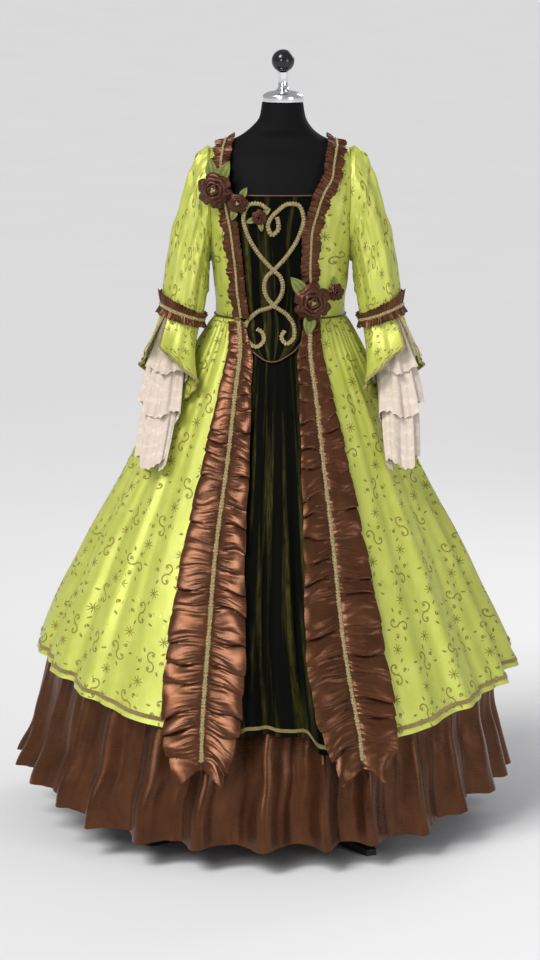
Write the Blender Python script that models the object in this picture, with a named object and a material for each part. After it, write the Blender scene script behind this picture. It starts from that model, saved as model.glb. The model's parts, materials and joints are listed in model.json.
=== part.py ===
"""Ball gown on a limbless dress form: bodice, stomacher, overskirt, flounced underskirt, sleeves and trims.

Metres, +Z up, the front faces -Y. Angles on the gown run from the centre front towards +X.
"""

import math

import bmesh
import bpy
import numpy as np

# Where the form's pole stands, so that the whole gown's box is centred on the origin.
AXIS_X = 0.0342
AXIS_Y = 0.0075

# Thickness of each cloth, and the air between two pieces that lie on each other.
BROCADE = 0.0018
VELVET = 0.0018
SATIN = 0.0015
LACE = 0.0012
SEAM = 0.0003
LAY = 0.0006

# Heights of the bodice and skirt.
WAIST = 1.1325
FLOUNCE_TOP = 0.43

# The outside of the green cloth, from the hem of the overskirt to the neck.
SHAPE_COLUMNS = ("z", "left", "right", "front", "back", "square")
SHAPE = (
    (0.200, 0.645, 0.600, 0.545, 0.555, 2.00),
    (0.300, 0.592, 0.550, 0.505, 0.515, 2.00),
    (0.391, 0.549, 0.508, 0.472, 0.480, 2.00),
    (0.437, 0.532, 0.486, 0.456, 0.462, 2.00),
    (0.506, 0.502, 0.451, 0.427, 0.433, 2.00),
    (0.575, 0.465, 0.419, 0.395, 0.400, 2.00),
    (0.643, 0.431, 0.385, 0.363, 0.368, 2.00),
    (0.712, 0.392, 0.346, 0.330, 0.335, 2.00),
    (0.780, 0.354, 0.312, 0.300, 0.303, 2.00),
    (0.850, 0.318, 0.279, 0.267, 0.268, 2.00),
    (0.950, 0.262, 0.232, 0.217, 0.213, 2.00),
    (1.040, 0.210, 0.188, 0.168, 0.158, 2.00),
    (1.085, 0.180, 0.164, 0.142, 0.130, 2.00),
    (1.110, 0.163, 0.150, 0.127, 0.112, 2.05),
    (1.1325, 0.149, 0.137, 0.113, 0.096, 2.10),
    (1.160, 0.148, 0.136, 0.1165, 0.097, 2.20),
    (1.200, 0.152, 0.142, 0.124, 0.100, 2.25),
    (1.250, 0.157, 0.1465, 0.133, 0.104, 2.25),
    (1.280, 0.163, 0.152, 0.137, 0.107, 2.25),
    (1.340, 0.174, 0.162, 0.140, 0.112, 2.25),
    (1.400, 0.181, 0.169, 0.131, 0.115, 2.25),
    (1.440, 0.184, 0.172, 0.113, 0.112, 2.25),
    (1.465, 0.180, 0.168, 0.097, 0.104, 2.25),
    (1.485, 0.170, 0.158, 0.081, 0.090, 2.25),
    (1.497, 0.156, 0.144, 0.069, 0.078, 2.25),
    (1.508, 0.134, 0.124, 0.061, 0.068, 2.20),
    (1.521, 0.105, 0.095, 0.055, 0.060, 2.10),
    (1.540, 0.072, 0.064, 0.051, 0.053, 2.00),
    (1.566, 0.051, 0.049, 0.048, 0.049, 2.00),
    (1.596, 0.046, 0.044, 0.046, 0.046, 2.00),
)

# The dress form: how far it lies inside the green cloth, and its hips below the waist.
FORM_INSET = (
    (1.1325, 0.0090), (1.160, 0.0060), (1.200, 0.0033), (1.400, 0.0033),
    (1.445, 0.0055), (1.521, 0.0060), (1.540, 0.0), (1.596, 0.0),
)
FORM_SIDE = 0.146
FORM_SIDES = 24
FORM_SQUARE = 2.1
FORM_HEIGHTS = (
    1.1325, 1.170, 1.225, 1.280, 1.340, 1.400, 1.440, 1.465,
    1.485, 1.497, 1.508, 1.521, 1.532, 1.545, 1.566, 1.596,
)
HIPS_COLUMNS = ("z", "half", "front", "back")
HIPS = (
    (0.870, 0.150, 0.118, 0.128),
    (0.880, 0.158, 0.126, 0.136),
    (0.950, 0.165, 0.133, 0.140),
    (1.050, 0.150, 0.116, 0.118),
)

# Front edge of the bodice, from the waist up over the shoulder to the centre back.
EDGE_COLUMNS = ("z", "left", "right")
EDGE = (
    (1.1325, 34.8, 23.0),
    (1.200, 36.7, 22.7),
    (1.250, 36.9, 21.6),
    (1.316, 36.8, 21.0),
    (1.365, 38.9, 24.4),
    (1.403, 41.3, 28.6),
    (1.436, 42.6, 35.6),
    (1.465, 44.6, 38.8),
    (1.490, 49.0, 46.5),
    (1.508, 68.0, 68.0),
    (1.513, 90.0, 90.0),
    (1.508, 112.0, 112.0),
    (1.490, 134.0, 134.0),
    (1.474, 152.0, 152.0),
    (1.466, 180.0, 180.0),
)
SHOULDER_ROW = 10
NECK_ROW = 6

# Each row of a front panel: row of the edge's table, then angle and height at the side seam or armhole.
FRONT_PANEL_COLUMNS = ("edge_row", "side_angle", "side_z")
FRONT_PANEL = (
    (0.0, 90.0, 1.1325),
    (1.0, 90.0, 1.190),
    (2.0, 90.0, 1.249),
    (2.7, 76.0, 1.272),
    (3.5, 64.0, 1.320),
    (4.25, 61.5, 1.350),
    (5.0, 60.0, 1.385),
    (6.0, 57.0, 1.435),
    (7.0, 61.0, 1.468),
    (8.0, 66.0, 1.483),
    (8.6, 72.0, 1.490),
    (9.2, 80.0, 1.494),
    (10.0, 90.0, 1.497),
)
PANEL_POINTS = 8
BACK_RISE = 0.031

# The stomacher's rounded lobe below the waist: height, and reach to each side of its centre.
LOBE_CENTRE = -0.024
LOBE_COLUMNS = ("z", "left", "right")
LOBE = (
    (1.120, 0.066, 0.077),
    (1.107, 0.066, 0.076),
    (1.095, 0.063, 0.071),
    (1.081, 0.056, 0.061),
    (1.067, 0.044, 0.048),
    (1.055, 0.026, 0.028),
)
LOBE_TIP = 0.009
STOMACHER_ROWS = (5.0, 4.25, 3.5, 2.7, 2.0, 1.0, 0.4, 0.0)

# Front edges of the overskirt, seen from the front: height, and x of the left and right edge.
OPENING_COLUMNS = ("z", "left", "right")
OPENING = (
    (1.1325, -0.093, 0.056),
    (1.080, -0.090, 0.056),
    (0.980, -0.102, 0.068),
    (0.865, -0.115, 0.081),
    (0.649, -0.144, 0.107),
    (0.499, -0.156, 0.123),
    (0.383, -0.165, 0.142),
    (0.300, -0.170, 0.158),
    (0.200, -0.172, 0.170),
)

# Height of each hem by its angle from the front.
OVERSKIRT_HEM = (
    (-180.0, 0.370), (-130.0, 0.380), (-90.0, 0.391), (-62.0, 0.365), (-45.0, 0.338), (-30.0, 0.312),
    (-18.0, 0.300), (15.0, 0.275), (30.0, 0.287), (45.0, 0.312), (66.0, 0.338), (90.0, 0.357),
    (130.0, 0.372), (180.0, 0.370),
)
FLOUNCE_HEM = (
    (-180.0, 0.075), (-130.0, 0.105), (-90.0, 0.130), (-62.0, 0.112), (-40.0, 0.068), (-20.0, 0.055),
    (20.0, 0.055), (38.0, 0.058), (60.0, 0.096), (90.0, 0.100), (130.0, 0.085), (180.0, 0.075),
)

# The underskirt inside the overskirt, then the satin flounce below it.
LINING_INSET = ((1.127, 0.0056), (1.080, 0.0125), (0.950, 0.020), (0.600, 0.024), (0.430, 0.026))
FLOUNCE_COLUMNS = ("z", "left", "right", "front", "back", "depth")
FLOUNCE = (
    (0.050, 0.594, 0.500, 0.515, 0.528, 0.027),
    (0.130, 0.580, 0.481, 0.503, 0.515, 0.025),
    (0.195, 0.552, 0.470, 0.488, 0.500, 0.020),
    (0.264, 0.538, 0.458, 0.468, 0.480, 0.015),
    (0.334, 0.523, 0.458, 0.450, 0.460, 0.010),
    (0.430, 0.509, 0.464, 0.433, 0.439, 0.003),
)
FLOUNCE_FOLDS = 27
UNDERSKIRT_ROWS = (0.0, 0.08, 0.30, 1.0, 1.35, 2.0)
OVERSKIRT_FOLDS = 20
OVERSKIRT_FOLD_DEPTH = 0.0125
OVERSKIRT_ROWS = (0.0, 0.03, 0.08, 0.18, 0.40, 0.70, 1.0)
EDGE_FADE = 0.09
VELVET_HEM = 0.288
VELVET_TUCK = 0.012
VELVET_FOLD_DEPTH = 0.014

# Ruched satin bands down the front edges of the skirt: reach to each side of the braid, wave height.
SKIRT_RUFFLE_COLUMNS = ("z", "outer", "inner", "wave")
SKIRT_RUFFLE = (
    (1.128, 0.020, 0.014, 0.002),
    (1.090, 0.023, 0.020, 0.003),
    (1.060, 0.026, 0.027, 0.004),
    (1.000, 0.032, 0.033, 0.005),
    (0.865, 0.047, 0.045, 0.007),
    (0.649, 0.067, 0.064, 0.008),
    (0.480, 0.081, 0.079, 0.009),
    (0.383, 0.083, 0.081, 0.0095),
    (0.300, 0.072, 0.068, 0.0095),
    (0.232, 0.044, 0.043, 0.008),
)
SKIRT_RUFFLE_WAVES = 17
TAIL_FALL = 0.030
NECK_RUFFLE_WAVES = 15
NECK_RUFFLE_REACH = 0.021
NECK_RUFFLE_GAP = 0.0012
CUFF_WAVES = 11
CUFF_PLACE = 0.980
CUFF_REACH = 0.043

# Sleeve: each ring's outer and inner point in x and z, its half depth and its centre in y.
SLEEVE_COLUMNS = ("outer_x", "outer_z", "inner_x", "inner_z", "half", "y")
SLEEVE_CENTRE = -0.003
SLEEVE = (
    (0.160, 1.503, 0.156, 1.246, 0.073, -0.003),
    (0.182, 1.484, 0.156, 1.238, 0.074, -0.005),
    (0.199, 1.448, 0.157, 1.228, 0.072, -0.008),
    (0.219, 1.385, 0.159, 1.212, 0.067, -0.013),
    (0.239, 1.312, 0.162, 1.190, 0.062, -0.021),
    (0.254, 1.232, 0.167, 1.160, 0.057, -0.031),
    (0.264, 1.148, 0.174, 1.120, 0.051, -0.043),
)
ARMHOLE_GAP = 0.0006
SLEEVE_HEAD = 0.0042
ARM_SIDES = 20

# Green flounce at the elbow: turn round the arm, drop below the elbow, and flare.
WING_COLUMNS = ("turn", "drop", "flare")
WING = (
    (50.0, 0.070, 0.012),
    (90.0, 0.092, 0.022),
    (140.0, 0.125, 0.030),
    (200.0, 0.160, 0.024),
    (270.0, 0.180, 0.024),
    (330.0, 0.130, 0.034),
    (385.0, 0.095, 0.036),
    (402.0, 0.065, 0.030),
)
WING_FOLDS = 5
WING_FOLD_DEPTH = 0.009
WING_START = 1.0003
WING_INSIDE = 0.0022
WING_CLEAR = 0.017
WING_CORNER = 0.62
FALL_ROWS = (0.0, 0.3, 0.65, 1.0)

# Lace below the elbow: centre of each ring on the left and right arm, half width and half depth.
LACE_COLUMNS = ("z", "left", "right", "y", "half", "depth")
LACE_RINGS = (
    (1.125, 0.224, 0.217, -0.050, 0.0350, 0.0360),
    (1.060, 0.238, 0.232, -0.078, 0.038, 0.034),
    (0.960, 0.256, 0.248, -0.125, 0.043, 0.034),
    (0.880, 0.272, 0.254, -0.160, 0.045, 0.034),
    (0.812, 0.286, 0.259, -0.185, 0.043, 0.032),
)
LACE_FOLDS = 7
LACE_CLEAR = 0.024
LACE_CORNER = 2.7

# Fabric roses: name, x and z seen from the front, height over the cloth, radius, leaf directions.
ROSE_SIDES = 16
ROSE_FACING = 1.4
ROSE_RINGS = (0.25, 0.55, 0.80, 1.0)
PETALS = 5
PETAL_WAVE = 0.07
LEAF_LENGTH = 0.75
LEAF_TURN = 0.20
ROSE_BACK = 0.0022
ROSES = (
    ("rose_shoulder_large", -0.150, 1.415, 0.0200, 0.040, (62.0, 100.0)),
    ("rose_shoulder_middle", -0.096, 1.388, 0.0113, 0.023, (60.0, 250.0)),
    ("rose_shoulder_small", -0.051, 1.358, 0.004, 0.018, (40.0, 200.0, 280.0)),
    ("rose_waist_large", 0.060, 1.172, 0.0187, 0.042, (130.0, 262.0)),
    ("rose_waist_small", 0.111, 1.199, 0.0091, 0.020, (95.0,)),
)

# Stand: pole, five-legged foot, and the metal cap and knob over the neck.
POLE_RADIUS = 0.016
FOOT_REACH = 0.42
FOOT_HEIGHT = 0.014
HUB_RADIUS = 0.045
HUB_HEIGHT = 0.055
LEGS = 5
LEG_TURN = 27.0
LEG_COLUMNS = ("along", "lean")
LEG = ((0.10, -36.0), (0.16, -17.2), (0.82, -3.34), (1.0, -1.64), (1.0, 1.64), (0.82, 3.34), (0.16, 17.2))
CAP_PROFILE = ((0.0, 1.5963), (0.0445, 1.5963), (0.0445, 1.612), (0.036, 1.619), (0.012, 1.622), (0.0, 1.622))
KNOB_RADIUS = 0.025
KNOB_HEIGHT = 1.686
POST_RADIUS = 0.0105

# Gold braid on the stomacher: band, crossing point, then half of its course in mm from there.
BRAID_WIDTH = 0.0050
BRAID_HEIGHT = 0.0024
BRAID_STEP = 0.0150
BRAID_AT = (-0.0205, 1.243)
BRAID_CROSSING = 0.0002
TEAR = ((7.0, 116.0), (10.0, 104.0), (9.0, 88.0), (-3.0, 78.0), (-12.0, 98.0), (-4.0, 116.0))
SCROLL = (
    (8.0, 128.0), (30.0, 143.0), (52.0, 141.0), (64.0, 112.0), (57.0, 82.0), (33.0, 38.0),
    (0.0, 0.0), (-14.0, -14.0), (-20.0, -36.0), (-14.0, -60.0), (0.0, -78.0),
    (29.0, -100.0), (44.0, -128.0), (41.0, -152.0), (28.0, -160.0), (17.0, -147.0), (24.0, -133.0),
)


def column(table, columns, name):
    """One named column of a table as an array."""
    return np.array([row[columns.index(name)] for row in table], float)


def smooth(xs, ys, at):
    """Curve through the table's values that overshoots none of them."""
    order = np.argsort(xs)
    xs, ys = np.asarray(xs, float)[order], np.asarray(ys, float)[order]
    run = np.diff(xs)
    rise = np.diff(ys) / run
    slope = np.zeros(len(xs))
    slope[0], slope[-1] = rise[0], rise[-1]
    same_way = rise[:-1] * rise[1:] > 0
    mean = 2 * rise[:-1] * rise[1:] / np.where(same_way, rise[:-1] + rise[1:], 1.0)
    slope[1:-1] = np.where(same_way, mean, 0.0)
    at = np.clip(at, xs[0], xs[-1])
    k = np.clip(np.searchsorted(xs, at, side="right") - 1, 0, len(run) - 1)
    t = (at - xs[k]) / run[k]
    ends = ys[k] * (1 + 2 * t) * (1 - t) ** 2 + ys[k + 1] * t * t * (3 - 2 * t)
    return ends + run[k] * (slope[k] * t * (1 - t) ** 2 - slope[k + 1] * t * t * (1 - t))


def looked_up(table, columns, name, z):
    return smooth(column(table, columns, columns[0]), column(table, columns, name), z)


def by_angle(table, angle):
    """Height from a table of angle and height, with the angle in radians at any turn."""
    turn = (np.degrees(angle) + 180.0) % 360.0 - 180.0
    rows = np.array(table)
    return smooth(rows[:, 0], rows[:, 1], turn)


def oval(angle, left, right, front, back, square):
    """Point at an angle on an oval section; square above 2 makes its sides fuller."""
    side, ahead = np.sin(angle), np.cos(angle)
    power = 2.0 / square
    x = (right - left) / 2 + np.sign(side) * np.abs(side) ** power * (left + right) / 2
    y = -np.sign(ahead) * np.abs(ahead) ** power * np.where(ahead > 0, front, back)
    return x, y


def shape(angle, z, out=0.0):
    """Outside of the green cloth at an angle and height, moved out by a distance."""
    sides = [looked_up(SHAPE, SHAPE_COLUMNS, name, z) + out for name in SHAPE_COLUMNS[1:5]]
    x, y = oval(angle, *sides, looked_up(SHAPE, SHAPE_COLUMNS, "square", z))
    return np.stack([x, y, z + np.zeros_like(x)], axis=-1)


def angle_at(x, z):
    """Angle on the front of the green cloth of a point at x and z."""
    left = looked_up(SHAPE, SHAPE_COLUMNS, "left", z)
    right = looked_up(SHAPE, SHAPE_COLUMNS, "right", z)
    square = looked_up(SHAPE, SHAPE_COLUMNS, "square", z)
    ratio = np.clip((x - (right - left) / 2) / ((left + right) / 2), -1.0, 1.0)
    return np.arcsin(np.sign(ratio) * np.abs(ratio) ** (square / 2))


def shape_normal(angle, z):
    """Outward unit normal of the green cloth at an angle and height."""
    turn = shape(angle + 0.004, z) - shape(angle - 0.004, z)
    rise = shape(angle, z + 0.0005) - shape(angle, z - 0.0005)
    normal = np.cross(turn, rise)
    return normal / (np.linalg.norm(normal, axis=-1, keepdims=True) + 1e-12)


def on_front(x, z, out=0.0):
    """Point on the front of the green cloth seen at x and z."""
    return shape(angle_at(x, z), z, out)


def normals_of(grid, ring, centre):
    """Unit normals of a grid of points, which face away from the centre."""
    if ring:
        across = np.roll(grid, -1, axis=1) - np.roll(grid, 1, axis=1)
    else:
        across = np.gradient(grid, axis=1)
    normals = np.cross(across, np.gradient(grid, axis=0))
    normals /= np.linalg.norm(normals, axis=2, keepdims=True) + 1e-12
    if np.sum(normals * (grid - centre)) < 0:
        normals = -normals
    return normals


def axis_of(grid):
    """The form's axis at each point's height."""
    return grid * np.array([0.0, 0.0, 1.0])


def grid_faces(rows, cols, ring, start, turned):
    """Quads of a grid whose points begin at an index; both sides of a wall split along the same diagonal."""
    faces = []
    for i in range(rows - 1):
        for j in range(cols if ring else cols - 1):
            k = (j + 1) % cols
            a, b, c, d = i * cols + j, i * cols + k, (i + 1) * cols + k, (i + 1) * cols + j
            faces.append([start + n for n in ((a, d, c, b) if turned else (a, b, c, d))])
    return faces


def add_object(name, points, faces, look):
    """Mesh object on the gown's axis, with its faces turned out and shaded smooth."""
    mesh = bpy.data.meshes.new(name)
    mesh.from_pydata([tuple(p) for p in points], [], faces)
    work = bmesh.new()
    work.from_mesh(mesh)
    bmesh.ops.recalc_face_normals(work, faces=work.faces)
    work.to_mesh(mesh)
    work.free()
    mesh.shade_smooth()
    mesh.set_sharp_from_angle(angle=math.radians(50.0))
    mesh.materials.append(look)
    thing = bpy.data.objects.new(name, mesh)
    bpy.context.scene.collection.objects.link(thing)
    thing.parent = bpy.data.objects["gown_axis"]
    return thing


def wall(name, grid, thick, look, ring=False, centre=None, normals=None):
    """Closed cloth wall whose outside is a grid of points and whose inside lies a thickness within."""
    rows, cols = grid.shape[:2]
    if normals is None:
        normals = normals_of(grid, ring, axis_of(grid) if centre is None else centre)
    inside = grid - thick * normals
    count = rows * cols
    faces = grid_faces(rows, cols, ring, 0, False) + grid_faces(rows, cols, ring, count, True)
    for j in range(cols if ring else cols - 1):
        k = (j + 1) % cols
        last = (rows - 1) * cols
        faces.append([j, k, count + k, count + j])
        faces.append([last + k, last + j, count + last + j, count + last + k])
    if not ring:
        for i in range(rows - 1):
            a, b = i * cols, (i + 1) * cols
            faces.append([a, b, count + b, count + a][::-1])
            faces.append([a + cols - 1, b + cols - 1, count + b + cols - 1, count + a + cols - 1])
    points = np.concatenate([grid.reshape(-1, 3), inside.reshape(-1, 3)])
    return add_object(name, points, faces, look)


def loft(name, rings, look):
    """Closed solid through rings of points, capped at both ends."""
    rings = np.asarray(rings)
    rows, cols = rings.shape[:2]
    faces = grid_faces(rows, cols, True, 0, False)
    first, last = rows * cols, rows * cols + 1
    for j in range(cols):
        k = (j + 1) % cols
        faces.append([first, k, j])
        faces.append([last, (rows - 1) * cols + j, (rows - 1) * cols + k])
    points = np.concatenate([rings.reshape(-1, 3), [rings[0].mean(axis=0), rings[-1].mean(axis=0)]])
    return add_object(name, points, faces, look)


def material(name, colour, roughness, metallic=0.0):
    look = bpy.data.materials.new(name)
    look.use_nodes = True
    shader = look.node_tree.nodes["Principled BSDF"]
    shader.inputs["Base Color"].default_value = (*colour, 1.0)
    shader.inputs["Roughness"].default_value = roughness
    shader.inputs["Metallic"].default_value = metallic
    return look


def edge_angle(row, side):
    """Angle and height of the bodice's edge at a row of its table, side -1 for left and 1 for right."""
    rows = np.arange(len(EDGE))
    degrees = smooth(rows, column(EDGE, EDGE_COLUMNS, "left" if side < 0 else "right"), row)
    return side * np.radians(degrees), smooth(rows, column(EDGE, EDGE_COLUMNS, "z"), row)


def make_stand(look):
    """Pole on a low foot with five legs, flat underneath."""
    count = LEGS * len(LEG)
    reach = HUB_RADIUS + (FOOT_REACH - HUB_RADIUS) * np.tile(column(LEG, LEG_COLUMNS, "along"), LEGS)
    leg = np.repeat(np.arange(LEGS), len(LEG)) * 2 * math.pi / LEGS + math.radians(LEG_TURN)
    angle = leg + np.radians(np.tile(column(LEG, LEG_COLUMNS, "lean"), LEGS))
    even = np.arange(count) * 2 * math.pi / count + math.radians(LEG_TURN) - math.pi / LEGS
    fall = HUB_HEIGHT - (HUB_HEIGHT - FOOT_HEIGHT) * (reach - HUB_RADIUS) / (FOOT_REACH - HUB_RADIUS)

    def ring(turns, radius, z):
        return np.column_stack([radius * np.sin(turns), -radius * np.cos(turns), np.zeros(count) + z])

    rings = [
        ring(angle, reach, 0.0),
        ring(angle, reach, fall),
        ring(even, HUB_RADIUS * 0.8, HUB_HEIGHT + 0.004),
        ring(even, POLE_RADIUS, HUB_HEIGHT + 0.012),
        ring(even, POLE_RADIUS, HIPS[0][0] - SEAM),
    ]
    loft("stand", rings, look)


def make_form(look):
    """Smooth limbless torso from the hips to the top of the neck."""
    turns = np.linspace(-math.pi, math.pi, FORM_SIDES, endpoint=False)
    rings = []
    for z, half, front, back in HIPS:
        x, y = oval(turns, half, half, front, back, FORM_SQUARE)
        rings.append(np.column_stack([x, y, np.full(FORM_SIDES, z)]))
    insets = np.array(FORM_INSET)
    for z in FORM_HEIGHTS:
        inset = smooth(insets[:, 0], insets[:, 1], z)
        sides = [looked_up(SHAPE, SHAPE_COLUMNS, name, z) - inset for name in SHAPE_COLUMNS[1:5]]
        middle = (sides[1] - sides[0]) / 2
        half = min((sides[0] + sides[1]) / 2, FORM_SIDE)
        square = looked_up(SHAPE, SHAPE_COLUMNS, "square", z)
        x, y = oval(turns, half - middle, half + middle, sides[2], sides[3], square)
        rings.append(np.column_stack([x, y, np.full(FORM_SIDES, z)]))
    loft("form_torso", rings, look)


def turned(name, profile, sides, look):
    """Solid turned from a profile of radius and height that starts and ends on the axis."""
    turns = np.linspace(0.0, 2 * math.pi, sides, endpoint=False)
    flat = np.column_stack([np.cos(turns), np.sin(turns), np.zeros(sides)])
    return loft(name, [r * flat + np.array([0.0, 0.0, z]) for r, z in profile[1:-1]], look)


def make_cap_and_knob(metal, gloss):
    turned("neck_cap", CAP_PROFILE, 24, metal)
    start = math.asin(POST_RADIUS / KNOB_RADIUS)
    ball = [(KNOB_RADIUS * math.sin(a), KNOB_HEIGHT - KNOB_RADIUS * math.cos(a))
            for a in np.linspace(start, math.pi - 0.30, 8)]
    foot = CAP_PROFILE[-1][1] + SEAM
    profile = [(0.0, foot), (POST_RADIUS, foot), *ball, (0.0, KNOB_HEIGHT + KNOB_RADIUS)]
    turned("finial", profile, 16, gloss)


def bodice_panel(side, back):
    """Angles and heights from the front edge, or centre back, to the side seam and armhole."""
    angles, heights = [], []
    for edge_row, side_degrees, side_z in FRONT_PANEL:
        end = math.radians(180.0 - side_degrees if back else side_degrees)
        depth = looked_up(SHAPE, SHAPE_COLUMNS, "back" if back else "front", side_z)
        if not back:
            start, start_z = edge_angle(edge_row, side)
            start = abs(start) + SEAM / (2 * depth)
        elif edge_row > NECK_ROW:
            start, start_z = edge_angle(2 * SHOULDER_ROW - edge_row, side)
            start = abs(start) - SEAM / (2 * depth)
        else:
            start = math.pi - SEAM / depth
            start_z = side_z + BACK_RISE * (side_z - WAIST) / (FRONT_PANEL[7][2] - WAIST)
        turns = np.linspace(start, end, PANEL_POINTS)
        if back:
            turns = np.maximum(turns, math.pi / 2 + SEAM / depth)
        else:
            turns = np.minimum(turns, math.pi / 2 - SEAM / depth)
        angles.append(side * turns)
        heights.append(np.linspace(float(start_z), side_z, PANEL_POINTS))
    return np.array(angles), np.array(heights)


def make_bodice(look):
    for word, side in (("left", -1), ("right", 1)):
        for place, back in (("front", False), ("back", True)):
            angles, heights = bodice_panel(side, back)
            grid = shape(angles, heights)
            wall(f"bodice_{place}_{word}", grid, BROCADE, look, normals=shape_normal(angles, heights))


def stomacher_rows():
    """Height and both edge angles of each row, down to the rounded lobe under the waist."""
    rows = []
    for row in STOMACHER_ROWS:
        rows.append((edge_angle(row, 1)[1], edge_angle(row, -1)[0], edge_angle(row, 1)[0]))
    for z, left, right in LOBE:
        rows.append((z, angle_at(LOBE_CENTRE - left, z), angle_at(LOBE_CENTRE + right, z)))
    return rows


def make_stomacher(look):
    angles, heights = [], []
    across = np.linspace(-1, 1, 9)
    for z, left, right in stomacher_rows():
        gap = SEAM / looked_up(SHAPE, SHAPE_COLUMNS, "front", z)
        angles.append((left + right) / 2 + across * ((right - left) / 2 - gap))
        heights.append(z - LOBE_TIP * (1 - across ** 2) * (z == LOBE[-1][0]))
    angles, heights = np.array(angles), np.array(heights)
    wall("stomacher", shape(angles, heights), VELVET, look, normals=shape_normal(angles, heights))


def overskirt_edges(z):
    """Angles of the overskirt's right and left front edge, the left one a full turn on."""
    right = angle_at(looked_up(OPENING, OPENING_COLUMNS, "right", z), z)
    left = angle_at(looked_up(OPENING, OPENING_COLUMNS, "left", z), z)
    return right, left + 2 * math.pi


def overskirt_point(u, v):
    """u from the right front edge round the back to the left one, v from the waist to the hem."""
    top = WAIST - SEAM
    right, left = overskirt_edges(top)
    angle = right + (left - right) * u
    for _ in range(3):
        z = top + (by_angle(OVERSKIRT_HEM, angle) - top) * v
        right, left = overskirt_edges(z)
        angle = right + (left - right) * u
    edge = np.minimum(u, 1 - u) / EDGE_FADE
    fade = 1 - np.exp(-edge ** 2)
    hollow = 0.5 + 0.5 * np.exp(-(0.64 * edge) ** 2)
    phase = 2 * math.pi * OVERSKIRT_FOLDS * u
    depth = OVERSKIRT_FOLD_DEPTH * v ** 0.8 * (0.75 + 0.25 * np.sin(7.0 * u + 0.6)) * fade
    sway = 0.35 / OVERSKIRT_FOLDS * np.sin(2 * math.pi * 5 * u + 0.8) * v * fade
    return shape(angle + sway, z, depth * (np.cos(phase) - hollow))


def make_overskirt(look):
    u, v = np.meshgrid(np.linspace(0, 1, OVERSKIRT_FOLDS * 4 + 1), np.array(OVERSKIRT_ROWS))
    wall("overskirt", overskirt_point(u, v), BROCADE, look)


def velvet_point(u, v):
    """Front panel tucked under the overskirt: u from left -1 to right 1, v from the waist to the hem."""
    z = (WAIST - 0.004) + (VELVET_HEM - 0.012 * u - WAIST) * v
    left = looked_up(OPENING, OPENING_COLUMNS, "left", z) - VELVET_TUCK
    right = looked_up(OPENING, OPENING_COLUMNS, "right", z) + VELVET_TUCK
    angle = angle_at((left + right) / 2 + u * (right - left) / 2, z)
    fold = 0.5 * (1 + np.cos(3.84 * math.pi * (u + 0.12))) * np.clip(1.25 - 1.5 * np.abs(u), 0, 1)
    return shape(angle, z, -BROCADE - 2 * LAY - VELVET_FOLD_DEPTH * fold * np.clip(v - 0.07, 0, 1))


def make_velvet_panel(look):
    u, v = np.meshgrid(np.linspace(-1, 1, 13), np.array(OVERSKIRT_ROWS))
    wall("velvet_panel", velvet_point(u, v), VELVET, look)


def underskirt_point(u, v):
    """u round the gown from the back, v from the waist over the seam at 1 to the flounce's hem at 2."""
    sway = 0.5 / FLOUNCE_FOLDS * (np.sin(5 * u + 1.0) + 0.6 * np.sin(11 * u))
    angle = u + sway
    insets = np.array(LINING_INSET)
    high = LINING_INSET[0][0] + (FLOUNCE_TOP - LINING_INSET[0][0]) * np.clip(v, 0, 1)
    low = FLOUNCE_TOP + (by_angle(FLOUNCE_HEM, angle) - FLOUNCE_TOP) * np.clip(v - 1, 0, 1)
    upper = shape(angle, high, -smooth(insets[:, 0], insets[:, 1], high))
    uneven = 0.8 + 0.2 * np.sin(3 * u + 2.0) + 0.14 * np.sin(8 * u)
    fold = looked_up(FLOUNCE, FLOUNCE_COLUMNS, "depth", low) * np.cos(FLOUNCE_FOLDS * u) * uneven
    sides = [looked_up(FLOUNCE, FLOUNCE_COLUMNS, name, low) + fold for name in FLOUNCE_COLUMNS[1:5]]
    x, y = oval(angle, *sides, 2.0)
    lower = np.stack([x, y, low], axis=-1)
    return np.where((v <= 1)[..., None], upper, lower)


def make_underskirt(look):
    turns = np.linspace(-math.pi, math.pi, FLOUNCE_FOLDS * 4, endpoint=False)
    u, v = np.meshgrid(turns, np.array(UNDERSKIRT_ROWS))
    wall("underskirt", underskirt_point(u, v), SATIN, look, ring=True)


def skirt_ruffle_point(side, s, t):
    """Ruched band on a front edge: s from inner -1 to outer 1, t from the waist to the tails."""
    name = "left" if side < 0 else "right"
    top, end = SKIRT_RUFFLE[0][0], SKIRT_RUFFLE[-1][0]
    z = top + (end - top) * t
    reach = np.where(s > 0, looked_up(SKIRT_RUFFLE, SKIRT_RUFFLE_COLUMNS, "outer", z),
                     looked_up(SKIRT_RUFFLE, SKIRT_RUFFLE_COLUMNS, "inner", z))
    turn = 2 * math.pi * SKIRT_RUFFLE_WAVES * t
    wave = np.cos(turn + 0.9 * s)
    x = looked_up(OPENING, OPENING_COLUMNS, name, z) + side * s * reach * (1 + 0.07 * wave * np.abs(s))
    fall = TAIL_FALL * np.abs(s) ** 1.5 * t + 0.006 * np.abs(s) * np.sin(turn)
    height = looked_up(SKIRT_RUFFLE, SKIRT_RUFFLE_COLUMNS, "wave", z) * np.abs(s) ** 0.7
    bow = 0.42 * reach ** 2 * (1 + np.abs(s)) + 0.0018 * np.clip((z - 1.0) / 0.1, 0, 1)
    return on_front(x, z - fall, SATIN + 1.6 * LAY + bow + height * (1 + wave))


def make_skirt_ruffles(look):
    for word, side in (("left", -1), ("right", 1)):
        s, t = np.meshgrid(np.array([-1.0, 0.0, 1.0]), np.linspace(0, 1, SKIRT_RUFFLE_WAVES * 4 + 1))
        wall(f"skirt_ruffle_{word}", skirt_ruffle_point(side, s, t), SATIN, look)


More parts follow.
